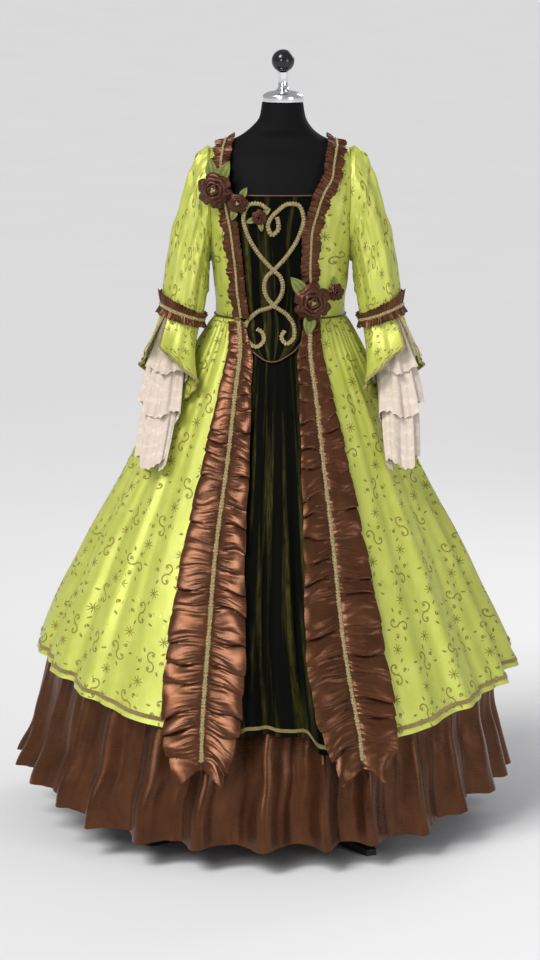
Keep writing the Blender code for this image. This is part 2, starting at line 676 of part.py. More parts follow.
def neck_ruffle_point(side, s, t):
    """Ruffle on the bodice's edge: s from inner -1 to outer 1, t from the waist to the centre back."""
    last = len(EDGE) - 1
    row = t * last
    angle, z = edge_angle(row, side)
    here = shape(angle, z)
    ahead_angle, ahead_z = edge_angle(row + 0.05, side)
    behind_angle, behind_z = edge_angle(row - 0.05, side)
    along = shape(ahead_angle, ahead_z) - shape(behind_angle, behind_z)
    along /= np.linalg.norm(along, axis=-1, keepdims=True)
    tilt = shape(angle + 0.02, z) - shape(angle - 0.02, z)
    rise = shape(angle, z + 0.002) - shape(angle, z - 0.002)
    up = np.cross(tilt, rise)
    up /= np.linalg.norm(up, axis=-1, keepdims=True)
    across = side * np.cross(up, along)
    wave = np.cos(2 * math.pi * NECK_RUFFLE_WAVES * t + 0.8 * s)
    reach = NECK_RUFFLE_REACH * (1 + 0.08 * wave)
    lift = SATIN + LAY + 0.0010 + 0.0035 * np.abs(s) * (1 + wave)
    sink = 0.5 * (s * reach) ** 2 / 0.11
    return here - across * (s * reach)[..., None] + up * (lift - sink)[..., None]


def make_neck_ruffles(look):
    for word, side in (("left", -1), ("right", 1)):
        rows = np.linspace(0, 1 - NECK_RUFFLE_GAP, NECK_RUFFLE_WAVES * 4 + 1)
        s, t = np.meshgrid(np.array([-1.0, 0.0, 1.0]), rows)
        wall(f"neck_ruffle_{word}", neck_ruffle_point(side, s, t), SATIN, look)


def armhole(side, turn):
    """Loop of the armhole: turn 0 at the shoulder, a quarter at the front, half under the arm."""
    rows = FRONT_PANEL[2:]
    low, high = rows[0][2], rows[-1][2]
    z = (low + high) / 2 + (high - low) / 2 * np.cos(turn)
    angle = np.interp(z, [row[2] for row in rows], [row[1] for row in rows])
    angle = np.where(turn > math.pi, 180.0 - angle, angle)
    return shape(side * np.radians(angle), z) + np.array([side * ARMHOLE_GAP, 0.0, 0.0])


def sleeve_point(side, turn, t, out=0.0):
    """Sleeve: turn round the arm from its outer line over the front, t from armhole 0 to elbow 1."""
    rows = np.arange(len(SLEEVE)) / (len(SLEEVE) - 1)
    place = np.clip(t, 0.0, 1.0)
    value = {name: smooth(rows, column(SLEEVE, SLEEVE_COLUMNS, name), place) for name in SLEEVE_COLUMNS}
    beyond = np.clip(t - 1.0, 0.0, None)
    mid_x = (value["outer_x"] + value["inner_x"]) / 2 + 0.05 * beyond
    mid_z = (value["outer_z"] + value["inner_z"]) / 2 - 0.30 * beyond
    half_x = (value["outer_x"] - value["inner_x"]) / 2
    half_z = (value["outer_z"] - value["inner_z"]) / 2
    grow = 1 + out / value["half"]
    pleat = 0.0022 * np.sin(7 * turn) * np.sin(math.pi * place) ** 0.7
    grow = grow + pleat / value["half"]
    x = mid_x + half_x * np.cos(turn) * grow
    z = mid_z + half_z * np.cos(turn) * grow
    y = value["y"] - 0.05 * beyond - value["half"] * np.sin(turn) * grow
    return np.stack([SLEEVE_CENTRE + side * x, y, z], axis=-1)


def calm(place, corner, reach):
    """Share of the folds kept near the corner where a fall bends round the skirt."""
    return 1 - 0.9 * np.exp(-(((place - corner) / reach) ** 2))


def ring_centres(grid):
    return np.broadcast_to(grid.mean(axis=1, keepdims=True), grid.shape)


def sleeve_grid(side, turn, t, out=0.0):
    """Ring of the armhole, then the sleeve's rows, which stay a little outside it."""
    start = armhole(side, turn[:1])
    rows = sleeve_point(side, turn, t, out)
    rows[..., 0] = side * np.maximum(side * rows[..., 0], side * start[..., 0] + SLEEVE_HEAD)
    return np.concatenate([start, rows])


def make_sleeves(look):
    for word, side in (("left", -1), ("right", 1)):
        turns = np.linspace(0, 2 * math.pi, ARM_SIDES, endpoint=False)
        turn, t = np.meshgrid(turns, np.linspace(0, 1, len(SLEEVE)))
        grid = sleeve_grid(side, turn, t)
        wall(f"sleeve_{word}", grid, SATIN, look, ring=True, centre=ring_centres(grid))


def cuff_point(side, s, turn):
    """Gathered double ruffle round the elbow: s from the top edge -1 to the lower edge 1."""
    wave = np.cos(CUFF_WAVES * turn)
    out = SATIN + 2 * LAY + np.abs(s) * (0.0065 + 0.0040 * wave)
    points = sleeve_point(side, turn, CUFF_PLACE + s * CUFF_REACH, out)
    points[..., 2] -= 0.004 * s * np.abs(s)
    return points


def make_cuffs(look):
    for word, side in (("left", -1), ("right", 1)):
        turns = np.linspace(0, 2 * math.pi, CUFF_WAVES * 4, endpoint=False)
        turn, s = np.meshgrid(turns, np.array([-1.0, 0.0, 1.0]))
        grid = cuff_point(side, s, turn)
        wall(f"cuff_ruffle_{word}", grid, SATIN, look, ring=True, centre=ring_centres(grid))


def clear_of_skirt(points, gap, ease=0.020):
    """Points moved out from the skirt's axis until they lie a gap outside it, in the same order."""
    z = points[..., 2]
    left = looked_up(SHAPE, SHAPE_COLUMNS, "left", z)
    right = looked_up(SHAPE, SHAPE_COLUMNS, "right", z)
    half, centre = (left + right) / 2, (right - left) / 2
    depth = np.where(points[..., 1] < 0, looked_up(SHAPE, SHAPE_COLUMNS, "front", z),
                     looked_up(SHAPE, SHAPE_COLUMNS, "back", z))
    flat = np.stack([points[..., 0] - centre, points[..., 1]], axis=-1)
    size = np.linalg.norm(flat, axis=-1)
    ratio = np.sqrt((flat[..., 0] / half) ** 2 + (flat[..., 1] / depth) ** 2)
    edge = size / ratio
    out = size - edge - gap
    moved = edge + gap + (out + np.sqrt(out ** 2 + ease ** 2)) / 2
    flat = flat * (moved / size)[..., None]
    return np.stack([flat[..., 0] + centre, flat[..., 1], z], axis=-1)


def wing_point(side, u, v):
    """Green flounce at the elbow: u from its front edge round the arm to the other, v down to its hem."""
    turn = np.radians(WING[0][0] + (WING[-1][0] - WING[0][0]) * u)
    drop = looked_up(WING, WING_COLUMNS, "drop", np.degrees(turn)) * v
    flare = looked_up(WING, WING_COLUMNS, "flare", np.degrees(turn)) * v
    fold = WING_FOLD_DEPTH * v * np.cos(2 * math.pi * WING_FOLDS * u) * calm(u, WING_CORNER, 0.10)
    top = sleeve_point(side, turn, np.full_like(v, WING_START), -WING_INSIDE)
    middle = sleeve_point(side, turn, np.full_like(v, WING_START), -0.040)
    away = (top - middle) * np.array([1.0, 1.0, 0.25])
    away /= np.linalg.norm(away, axis=-1, keepdims=True)
    hang = np.stack([side * 0.10 * drop, -0.50 * drop * v, -drop], axis=-1)
    return clear_of_skirt(top + away * (flare + fold)[..., None] + hang, WING_CLEAR)


def make_wings(look):
    for word, side in (("left", -1), ("right", 1)):
        u, v = np.meshgrid(np.linspace(0, 1, WING_FOLDS * 5 + 1), np.array(FALL_ROWS))
        grid = wing_point(side, u, v)
        wall(f"sleeve_flounce_{word}", grid, SATIN, look, centre=ring_centres(grid))


def lace_point(side, turn, v):
    """Gathered lace that falls out of the sleeve: v from 0 inside the elbow to 1 at its edge."""
    name = "left" if side < 0 else "right"
    z = LACE_RINGS[0][0] + (LACE_RINGS[-1][0] - LACE_RINGS[0][0]) * v
    fold = 1 + (0.05 + 0.09 * v) * np.cos(LACE_FOLDS * turn) * calm(turn, LACE_CORNER, 0.5)
    x = looked_up(LACE_RINGS, LACE_COLUMNS, name, z)
    half = looked_up(LACE_RINGS, LACE_COLUMNS, "half", z) * fold
    depth = looked_up(LACE_RINGS, LACE_COLUMNS, "depth", z) * fold
    y = looked_up(LACE_RINGS, LACE_COLUMNS, "y", z) - depth * np.sin(turn)
    slant = 0.028 * np.cos(turn) * (1 - v) + 0.012 * np.cos(3 * turn) * v
    points = np.stack([side * (x + half * np.cos(turn)), y, z + slant], axis=-1)
    return clear_of_skirt(points, LACE_CLEAR)


def make_lace(look):
    for word, side in (("left", -1), ("right", 1)):
        turns = np.linspace(0, 2 * math.pi, LACE_FOLDS * 4, endpoint=False)
        turn, v = np.meshgrid(turns, np.array(FALL_ROWS))
        grid = lace_point(side, turn, v)
        wall(f"lace_{word}", grid, LACE, look, ring=True, centre=ring_centres(grid))


def rose_height(part, turn, radius):
    """Height of the petals over the rose's back, from its centre 0 to its rim 1."""
    spiral = np.cos(3 * turn + 9.0 * part)
    return radius * (0.50 - 0.34 * part ** 2 + 0.10 * spiral * (1 - 0.6 * part) * np.minimum(part * 4, 1))


def make_rose(name, x, z, lift, radius, leaves, look):
    """Domed rose whose rim runs out into flat leaves, on a flat back."""
    turns = np.linspace(0, 2 * math.pi, ROSE_SIDES, endpoint=False)
    seat = on_front(np.array(x), np.array(z))
    side = on_front(np.array(x + 0.004), np.array(z)) - on_front(np.array(x - 0.004), np.array(z))
    side /= np.linalg.norm(side)
    out = np.cross(side, [0.0, 0.0, 1.0]) + np.array([0.0, -ROSE_FACING, 0.0])
    out /= np.linalg.norm(out)
    side = np.cross([0.0, 0.0, 1.0], out)
    up = np.cross(out, side)
    leaf = np.zeros(ROSE_SIDES)
    for degrees in leaves:
        away = (turns - math.radians(degrees) + math.pi) % (2 * math.pi) - math.pi
        leaf += np.exp(-(away / LEAF_TURN) ** 2)
    rings = []
    for part in ROSE_RINGS:
        reach = radius * part * (1 + PETAL_WAVE * np.cos(PETALS * turns + 4 * part))
        rings.append((reach, rose_height(part, turns, radius)))
    rim = rings[-1][0] * (1 + LEAF_LENGTH * leaf)
    rings.append((rim, np.full(ROSE_SIDES, ROSE_BACK)))
    rings.append((rim, np.zeros(ROSE_SIDES)))
    grid = []
    for reach, height in rings:
        flat = side * (reach * np.cos(turns))[:, None] + up * (reach * np.sin(turns))[:, None]
        grid.append(seat + flat + out * (height + lift)[:, None])
    loft(name, grid, look)


def strand(points, mirror):
    """Smooth path through a strand's points in mm, as x and z on the stomacher."""
    path = np.array(points) * np.array([mirror, 1.0]) * 0.001 + np.array(BRAID_AT)
    place = np.concatenate([[0.0], np.cumsum(np.linalg.norm(np.diff(path, axis=0), axis=1))])
    at = np.linspace(0, place[-1], max(5, int(place[-1] / BRAID_STEP)))
    return np.stack([catmull(place, path[:, 0], at), catmull(place, path[:, 1], at)], axis=1)


def catmull(place, values, at):
    """Curve through the values that may swing past them between two points."""
    slope = np.gradient(values, place)
    k = np.clip(np.searchsorted(place, at, side="right") - 1, 0, len(place) - 2)
    run = place[k + 1] - place[k]
    t = (at - place[k]) / run
    ends = values[k] * (1 + 2 * t) * (1 - t) ** 2 + values[k + 1] * t * t * (3 - 2 * t)
    return ends + run * (slope[k] * t * (1 - t) ** 2 - slope[k + 1] * t * t * (1 - t))


def braid_strand(name, points, mirror, look):
    """Flat braid of rectangular section on the stomacher; the mirrored one lies a touch higher."""
    path = strand(points, mirror)
    along = np.gradient(path, axis=0)
    along /= np.linalg.norm(along, axis=1, keepdims=True)
    across = np.stack([along[:, 1], -along[:, 0]], axis=1) * BRAID_WIDTH / 2
    left, right = path + across, path - across
    low = 2 * LAY + (BRAID_CROSSING if mirror < 0 else 0.0)
    high = low + BRAID_HEIGHT
    corners = []
    for edge, height in ((left, low), (right, low), (right, high), (left, high)):
        corners.append(on_front(edge[:, 0], edge[:, 1], height))
    return loft(name, np.stack(corners, axis=1), look)


def make_scroll(look):
    """Two braids that cross to draw a heart with a tear in it, an oval and two curls."""
    scroll = braid_strand("scroll_braid", TEAR + SCROLL, 1, look)
    other = braid_strand("scroll_other_half", SCROLL, -1, look)
    other.hide_render = True
    other.display_type = "WIRE"
    joint = scroll.modifiers.new("other_half", "BOOLEAN")
    joint.operation = "UNION"
    joint.object = other


def main():
    for thing in list(bpy.data.objects):
        bpy.data.objects.remove(thing)
    axis = bpy.data.objects.new("gown_axis", None)
    bpy.context.scene.collection.objects.link(axis)
    axis.location = (AXIS_X, AXIS_Y, 0.0)

    black = material("form_black", (0.012, 0.012, 0.013), 0.75)
    metal = material("stand_metal", (0.75, 0.76, 0.77), 0.25, 1.0)
    gloss = material("knob_black", (0.01, 0.01, 0.01), 0.12)
    iron = material("foot_black", (0.02, 0.02, 0.02), 0.45)
    brocade = material("brocade_green", (0.47, 0.58, 0.09), 0.42)
    velvet = material("velvet_green", (0.012, 0.018, 0.006), 0.85)
    satin = material("satin_brown", (0.16, 0.05, 0.022), 0.30)
    lace = material("lace_cream", (0.80, 0.72, 0.64), 0.80)
    gold = material("braid_gold", (0.60, 0.46, 0.22), 0.40, 0.6)

    make_stand(iron)
    make_form(black)
    make_cap_and_knob(metal, gloss)
    make_bodice(brocade)
    make_stomacher(velvet)
    make_overskirt(brocade)
    make_velvet_panel(velvet)
    make_underskirt(satin)
    make_skirt_ruffles(satin)
    make_neck_ruffles(satin)
    make_sleeves(brocade)
    make_cuffs(satin)
    make_wings(brocade)
    make_lace(lace)
    for name, x, z, lift, radius, leaves in ROSES:
        make_rose(name, x, z, lift, radius, leaves, satin)
    make_scroll(gold)


main()
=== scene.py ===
"""Ball gown on its dress form: fine cloth, trims, materials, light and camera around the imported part."""

import json
import math

import bpy
import numpy as np
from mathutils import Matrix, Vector

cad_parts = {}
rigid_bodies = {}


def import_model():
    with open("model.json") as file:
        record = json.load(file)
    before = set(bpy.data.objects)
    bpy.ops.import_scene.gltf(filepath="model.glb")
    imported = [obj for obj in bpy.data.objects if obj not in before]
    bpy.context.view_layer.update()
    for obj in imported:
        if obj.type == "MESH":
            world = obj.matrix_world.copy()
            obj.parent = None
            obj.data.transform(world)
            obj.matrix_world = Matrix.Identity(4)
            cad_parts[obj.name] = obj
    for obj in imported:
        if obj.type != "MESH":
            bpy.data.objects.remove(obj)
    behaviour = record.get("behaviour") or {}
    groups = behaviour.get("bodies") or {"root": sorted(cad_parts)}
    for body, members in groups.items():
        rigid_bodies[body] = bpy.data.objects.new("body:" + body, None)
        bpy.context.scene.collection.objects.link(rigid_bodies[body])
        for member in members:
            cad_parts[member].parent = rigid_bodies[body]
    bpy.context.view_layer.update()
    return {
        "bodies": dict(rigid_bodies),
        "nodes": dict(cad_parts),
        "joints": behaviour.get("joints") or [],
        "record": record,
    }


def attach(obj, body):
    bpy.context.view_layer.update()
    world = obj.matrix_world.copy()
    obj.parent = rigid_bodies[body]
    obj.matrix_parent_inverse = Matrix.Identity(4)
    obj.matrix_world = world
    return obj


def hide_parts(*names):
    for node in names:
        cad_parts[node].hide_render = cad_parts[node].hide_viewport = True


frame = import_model()

class Table:
    """Rows of numbers under named columns, looked up by the first of them."""

    def __init__(self, names, rows):
        self.names, self.rows = names.split(), np.array(rows, float)
        self.start, self.end = self.rows[0, 0], self.rows[-1, 0]

    def column(self, name):
        return self.rows[:, self.names.index(name)]

    def at(self, name, place):
        return smooth(self.rows[:, 0], self.column(name), place)


# Where the form's pole stands, so that the whole gown's box is centred on the origin.
AXIS_X = 0.0342
AXIS_Y = 0.0075

# Thickness of each cloth, and the air between two pieces that lie on each other.
BROCADE = 0.0018
SATIN = 0.0015
SEAM = 0.0003
LAY = 0.0006

# Heights of the bodice and skirt.
WAIST = 1.1325
FLOUNCE_TOP = 0.43

# The outside of the green cloth, from the hem of the overskirt to the neck.
SHAPE = Table("z left right front back square", (
    (0.200, 0.645, 0.600, 0.545, 0.555, 2.00),
    (0.300, 0.592, 0.550, 0.505, 0.515, 2.00),
    (0.391, 0.549, 0.508, 0.472, 0.480, 2.00),
    (0.437, 0.532, 0.486, 0.456, 0.462, 2.00),
    (0.506, 0.502, 0.451, 0.427, 0.433, 2.00),
    (0.575, 0.465, 0.419, 0.395, 0.400, 2.00),
    (0.643, 0.431, 0.385, 0.363, 0.368, 2.00),
    (0.712, 0.392, 0.346, 0.330, 0.335, 2.00),
    (0.780, 0.354, 0.312, 0.300, 0.303, 2.00),
    (0.850, 0.318, 0.279, 0.267, 0.268, 2.00),
    (0.950, 0.262, 0.232, 0.217, 0.213, 2.00),
    (1.040, 0.210, 0.188, 0.168, 0.158, 2.00),
    (1.085, 0.180, 0.164, 0.142, 0.130, 2.00),
    (1.110, 0.163, 0.150, 0.127, 0.112, 2.05),
    (1.1325, 0.149, 0.137, 0.113, 0.096, 2.10),
    (1.160, 0.148, 0.136, 0.1165, 0.097, 2.20),
    (1.200, 0.152, 0.142, 0.124, 0.100, 2.25),
    (1.250, 0.157, 0.1465, 0.133, 0.104, 2.25),
    (1.280, 0.163, 0.152, 0.137, 0.107, 2.25),
    (1.340, 0.174, 0.162, 0.140, 0.112, 2.25),
    (1.400, 0.181, 0.169, 0.131, 0.115, 2.25),
    (1.440, 0.184, 0.172, 0.113, 0.112, 2.25),
    (1.465, 0.180, 0.168, 0.097, 0.104, 2.25),
    (1.485, 0.170, 0.158, 0.081, 0.090, 2.25),
    (1.497, 0.156, 0.144, 0.069, 0.078, 2.25),
    (1.508, 0.134, 0.124, 0.061, 0.068, 2.20),
    (1.521, 0.105, 0.095, 0.055, 0.060, 2.10),
    (1.540, 0.072, 0.064, 0.051, 0.053, 2.00),
    (1.566, 0.051, 0.049, 0.048, 0.049, 2.00),
    (1.596, 0.046, 0.044, 0.046, 0.046, 2.00),
))

# The dress form: how far it lies inside the green cloth, and its hips below the waist.
FORM_INSET = Table("z inset", (
    (1.1325, 0.0090), (1.160, 0.0060), (1.200, 0.0033), (1.400, 0.0033),
    (1.445, 0.0055), (1.521, 0.0060), (1.540, 0.0), (1.596, 0.0),
))
FORM_SIDE = 0.146
FORM_SQUARE = 2.1
FORM_HEIGHTS = (
    1.1325, 1.170, 1.225, 1.280, 1.340, 1.400, 1.440, 1.465,
    1.485, 1.497, 1.508, 1.521, 1.532, 1.545, 1.566, 1.596,
)
HIPS = Table("z half front back", (
    (0.870, 0.150, 0.118, 0.128),
    (0.880, 0.158, 0.126, 0.136),
    (0.950, 0.165, 0.133, 0.140),
    (1.050, 0.150, 0.116, 0.118),
))

# Front edge of the bodice, from the waist up over the shoulder to the centre back.
EDGE = Table("z left right", (
    (1.1325, 34.8, 23.0),
    (1.200, 36.7, 22.7),
    (1.250, 36.9, 21.6),
    (1.316, 36.8, 21.0),
    (1.365, 38.9, 24.4),
    (1.403, 41.3, 28.6),
    (1.436, 42.6, 35.6),
    (1.465, 44.6, 38.8),
    (1.490, 49.0, 46.5),
    (1.508, 68.0, 68.0),
    (1.513, 90.0, 90.0),
    (1.508, 112.0, 112.0),
    (1.490, 134.0, 134.0),
    (1.474, 152.0, 152.0),
    (1.466, 180.0, 180.0),
))
EDGE_LAST = len(EDGE.rows) - 1
SHOULDER_ROW = 10
NECK_ROW = 6

# Each row of a front panel: row of the edge's table, then angle and height at the side seam or armhole.
FRONT_PANEL = (
    (0.0, 90.0, 1.1325),
    (1.0, 90.0, 1.190),
    (2.0, 90.0, 1.249),
    (2.7, 76.0, 1.272),
    (3.5, 64.0, 1.320),
    (4.25, 61.5, 1.350),
    (5.0, 60.0, 1.385),
    (6.0, 57.0, 1.435),
    (7.0, 61.0, 1.468),
    (8.0, 66.0, 1.483),
    (8.6, 72.0, 1.490),
    (9.2, 80.0, 1.494),
    (10.0, 90.0, 1.497),
)
PANEL_POINTS = 8
BACK_RISE = 0.031

# The stomacher's rounded lobe below the waist: height, and reach to each side of its centre.
LOBE_CENTRE = -0.024
LOBE = (
    (1.120, 0.066, 0.077),
    (1.107, 0.066, 0.076),
    (1.095, 0.063, 0.071),
    (1.081, 0.056, 0.061),
    (1.067, 0.044, 0.048),
    (1.055, 0.026, 0.028),
)
LOBE_TIP = 0.009
STOMACHER_ROWS = (5.0, 4.25, 3.5, 2.7, 2.0, 1.0, 0.4, 0.0)

# Front edges of the overskirt, seen from the front: height, and x of the left and right edge.
OPENING = Table("z left right", (
    (1.1325, -0.093, 0.056),
    (1.080, -0.090, 0.056),
    (0.980, -0.102, 0.068),
    (0.865, -0.115, 0.081),
    (0.649, -0.144, 0.107),
    (0.499, -0.156, 0.123),
    (0.383, -0.165, 0.142),
    (0.300, -0.170, 0.158),
    (0.200, -0.172, 0.170),
))

# Height of each hem by its angle from the front.
OVERSKIRT_HEM = Table("angle z", (
    (-180.0, 0.370), (-130.0, 0.380), (-90.0, 0.391), (-62.0, 0.365), (-45.0, 0.338), (-30.0, 0.312),
    (-18.0, 0.300), (15.0, 0.275), (30.0, 0.287), (45.0, 0.312), (66.0, 0.338), (90.0, 0.357),
    (130.0, 0.372), (180.0, 0.370),
))
FLOUNCE_HEM = Table("angle z", (
    (-180.0, 0.075), (-130.0, 0.105), (-90.0, 0.130), (-62.0, 0.112), (-40.0, 0.068), (-20.0, 0.055),
    (20.0, 0.055), (38.0, 0.058), (60.0, 0.096), (90.0, 0.100), (130.0, 0.085), (180.0, 0.075),
))

# The underskirt inside the overskirt, then the satin flounce below it.
LINING_INSET = Table(
    "z inset", ((1.127, 0.0056), (1.080, 0.0125), (0.950, 0.020), (0.600, 0.024), (0.430, 0.026)),
)
FLOUNCE = Table("z left right front back depth", (
    (0.050, 0.594, 0.500, 0.515, 0.528, 0.027),
    (0.130, 0.580, 0.481, 0.503, 0.515, 0.025),
    (0.195, 0.552, 0.470, 0.488, 0.500, 0.020),
    (0.264, 0.538, 0.458, 0.468, 0.480, 0.015),
    (0.334, 0.523, 0.458, 0.450, 0.460, 0.010),
    (0.430, 0.509, 0.464, 0.433, 0.439, 0.003),
))
FLOUNCE_FOLDS = 27
OVERSKIRT_FOLDS = 20
OVERSKIRT_FOLD_DEPTH = 0.0125
EDGE_FADE = 0.09
VELVET_HEM = 0.288
VELVET_TUCK = 0.012
VELVET_FOLD_DEPTH = 0.014

# Ruched satin bands down the front edges of the skirt: reach to each side of the braid, wave height.
SKIRT_RUFFLE = Table("z outer inner wave", (
    (1.128, 0.020, 0.014, 0.002),
    (1.090, 0.023, 0.020, 0.003),
    (1.060, 0.026, 0.027, 0.004),
    (1.000, 0.032, 0.033, 0.005),
    (0.865, 0.047, 0.045, 0.007),
    (0.649, 0.067, 0.064, 0.008),
    (0.480, 0.081, 0.079, 0.009),
    (0.383, 0.083, 0.081, 0.0095),
    (0.300, 0.072, 0.068, 0.0095),
    (0.232, 0.044, 0.043, 0.008),
))
TAIL_FALL = 0.030
NECK_RUFFLE_WAVES = 15
NECK_RUFFLE_REACH = 0.021
NECK_RUFFLE_GAP = 0.0012
CUFF_WAVES = 11
CUFF_PLACE = 0.980
CUFF_REACH = 0.043

# Sleeve: each ring's outer and inner point in x and z, its half depth and its centre in y.
SLEEVE_CENTRE = -0.003
SLEEVE = Table("outer_x outer_z inner_x inner_z half y", (
    (0.160, 1.503, 0.156, 1.246, 0.073, -0.003),
    (0.182, 1.484, 0.156, 1.238, 0.074, -0.005),
    (0.199, 1.448, 0.157, 1.228, 0.072, -0.008),
    (0.219, 1.385, 0.159, 1.212, 0.067, -0.013),
    (0.239, 1.312, 0.162, 1.190, 0.062, -0.021),
    (0.254, 1.232, 0.167, 1.160, 0.057, -0.031),
    (0.264, 1.148, 0.174, 1.120, 0.051, -0.043),
))
ARMHOLE_GAP = 0.0006
SLEEVE_HEAD = 0.0042

# Green flounce at the elbow: turn round the arm, drop below the elbow, and flare.
WING = Table("turn drop flare", (
    (50.0, 0.070, 0.012),
    (90.0, 0.092, 0.022),
    (140.0, 0.125, 0.030),
    (200.0, 0.160, 0.024),
    (270.0, 0.180, 0.024),
    (330.0, 0.130, 0.034),
    (385.0, 0.095, 0.036),
    (402.0, 0.065, 0.030),
))
WING_FOLDS = 5
WING_FOLD_DEPTH = 0.009
WING_START = 1.0003
WING_INSIDE = 0.0022
WING_CLEAR = 0.017
WING_CORNER = 0.62

# Lace below the elbow: centre of each ring on the left and right arm, half width and half depth.
LACE_RINGS = Table("z left right y half depth", (
    (1.125, 0.224, 0.217, -0.050, 0.0350, 0.0360),
    (1.060, 0.238, 0.232, -0.078, 0.038, 0.034),
    (0.960, 0.256, 0.248, -0.125, 0.043, 0.034),
    (0.880, 0.272, 0.254, -0.160, 0.045, 0.034),
    (0.812, 0.286, 0.259, -0.185, 0.043, 0.032),
))
LACE_CLEAR = 0.024
LACE_CORNER = 2.7

# Fabric roses: name, x and z seen from the front, height over the cloth, radius, leaf directions.
ROSE_FACING = 1.4
ROSES = (
    ("rose_shoulder_large", -0.150, 1.415, 0.0200, 0.040, (62.0, 100.0)),
    ("rose_shoulder_middle", -0.096, 1.388, 0.0113, 0.023, (60.0, 250.0)),
    ("rose_shoulder_small", -0.051, 1.358, 0.004, 0.018, (40.0, 200.0, 280.0)),
    ("rose_waist_large", 0.060, 1.172, 0.0187, 0.042, (130.0, 262.0)),
    ("rose_waist_small", 0.111, 1.199, 0.0091, 0.020, (95.0,)),
)

# Metal cap, post and knob over the neck: radius and height.
CAP = (
    (0.0, 1.5963), (0.040, 1.5963), (0.0436, 1.5970), (0.0445, 1.5985), (0.0445, 1.6095), (0.0438, 1.6118),
    (0.0415, 1.6142), (0.0360, 1.6172), (0.0290, 1.6195), (0.0200, 1.6212), (0.0120, 1.6220), (0.0, 1.6221),
)
POST = (
    (0.0, 1.6222), (0.0155, 1.6222), (0.0158, 1.6240), (0.0120, 1.6258), (0.0105, 1.6285), (0.0105, 1.6560),
    (0.0118, 1.6580), (0.0118, 1.6615), (0.0, 1.6616),
)
KNOB_RADIUS = 0.025
KNOB_HEIGHT = 1.686

# Gold braid on the stomacher: crossing point, then half of its course in mm from there.
BRAID_AT = (-0.0205, 1.243)
TEAR = ((7.0, 116.0), (10.0, 104.0), (9.0, 88.0), (-3.0, 78.0), (-12.0, 98.0), (-4.0, 116.0))
SCROLL = (
    (8.0, 128.0), (30.0, 143.0), (52.0, 141.0), (64.0, 112.0), (57.0, 82.0), (33.0, 38.0),
    (0.0, 0.0), (-14.0, -14.0), (-20.0, -36.0), (-14.0, -60.0), (0.0, -78.0),
    (29.0, -100.0), (44.0, -128.0), (41.0, -152.0), (28.0, -160.0), (17.0, -147.0), (24.0, -133.0),
)

# Sides as seen from the front, the form's axis, and the slope of the skirt's gores.
SIDES = (("left", -1), ("right", 1))
AXIS = np.array([AXIS_X, AXIS_Y, 0.0])
FLARE = 0.46

# Camera: place from the axis, pitch down in degrees, focal length in mm.
CAMERA = (-0.0285, -7.5, 2.12)
CAMERA_PITCH = 10.3
FOCAL = 128.25

# Scale and repeats of the motifs in the green cloth, and repeats of the flowers in the lace.
MOTIF_SIZE = 1.15
MOTIF_ROW, MOTIF_COLUMN = 0.092, 0.086
STAR_RADIUS = 0.0120
FLOWER_ROW, FLOWER_COLUMN = 0.027, 0.029

# Puffs of the skirt bands: rate, extra ones under the waist, and how soon those fade.
PUFF_RATE, PUFF_CROWD, PUFF_FADE = 18.5, 30.0, 0.17

# The braid's left curl swings wider: where it leaves the course above, and its own course.
LEFT_CURL_FROM = 11
LEFT_CURL = (
    (35.0, -94.0), (56.0, -118.0), (62.0, -137.0), (50.0, -161.0), (37.0, -167.0), (21.0, -153.0),
    (25.0, -137.0), (35.0, -131.0),
)

# Swing of the lace's lower end, the floor's radius, and roses moved from their solids.
LACE_INWARD = 0.014
FLOOR = 80.0
ROSE_SHIFT = {"rose_shoulder_large": (0.009, 0.0), "rose_waist_small": (0.0, -0.009)}


def unit(vectors):
    """Vectors made one long."""
    return vectors / (np.linalg.norm(vectors, axis=-1, keepdims=True) + 1e-12)


def outward(points):
    """Level unit directions away from the form's axis."""
    return unit(points * np.array([1.0, 1.0, 0.0]))


def full_turn(count):
    """Equal turns round a circle."""
    return np.linspace(0, 2 * math.pi, count, endpoint=False)


def smooth(xs, ys, at):
    """Curve through the table's values that overshoots none of them."""
    order = np.argsort(xs)
    xs, ys = np.asarray(xs, float)[order], np.asarray(ys, float)[order]
    run = np.diff(xs)
    rise = np.diff(ys) / run
    slope = np.zeros(len(xs))
    slope[0], slope[-1] = rise[0], rise[-1]
    same_way = rise[:-1] * rise[1:] > 0
    mean = 2 * rise[:-1] * rise[1:] / np.where(same_way, rise[:-1] + rise[1:], 1.0)
    slope[1:-1] = np.where(same_way, mean, 0.0)
    at = np.clip(at, xs[0], xs[-1])
    k = np.clip(np.searchsorted(xs, at, side="right") - 1, 0, len(run) - 1)
    t = (at - xs[k]) / run[k]
    ends = ys[k] * (1 + 2 * t) * (1 - t) ** 2 + ys[k + 1] * t * t * (3 - 2 * t)
    return ends + run[k] * (slope[k] * t * (1 - t) ** 2 - slope[k + 1] * t * t * (1 - t))


def by_angle(table, angle):
    """Height from a table of angle and height, with the angle in radians at any turn."""
    return table.at("z", (np.degrees(angle) + 180.0) % 360.0 - 180.0)


def oval(angle, left, right, front, back, square):
    """Point at an angle on an oval section; square above 2 makes its sides fuller."""
    side, ahead = np.sin(angle), np.cos(angle)
    power = 2.0 / square
    x = (right - left) / 2 + np.sign(side) * np.abs(side) ** power * (left + right) / 2
    y = -np.sign(ahead) * np.abs(ahead) ** power * np.where(ahead > 0, front, back)
    return x, y


def shape(angle, z, out=0.0):
    """Outside of the green cloth at an angle and height, moved out by a distance."""
    sides = [SHAPE.at(name, z) + out for name in SHAPE.names[1:5]]
    x, y = oval(angle, *sides, SHAPE.at("square", z))
    return np.stack([x, y, z + np.zeros_like(x)], axis=-1)


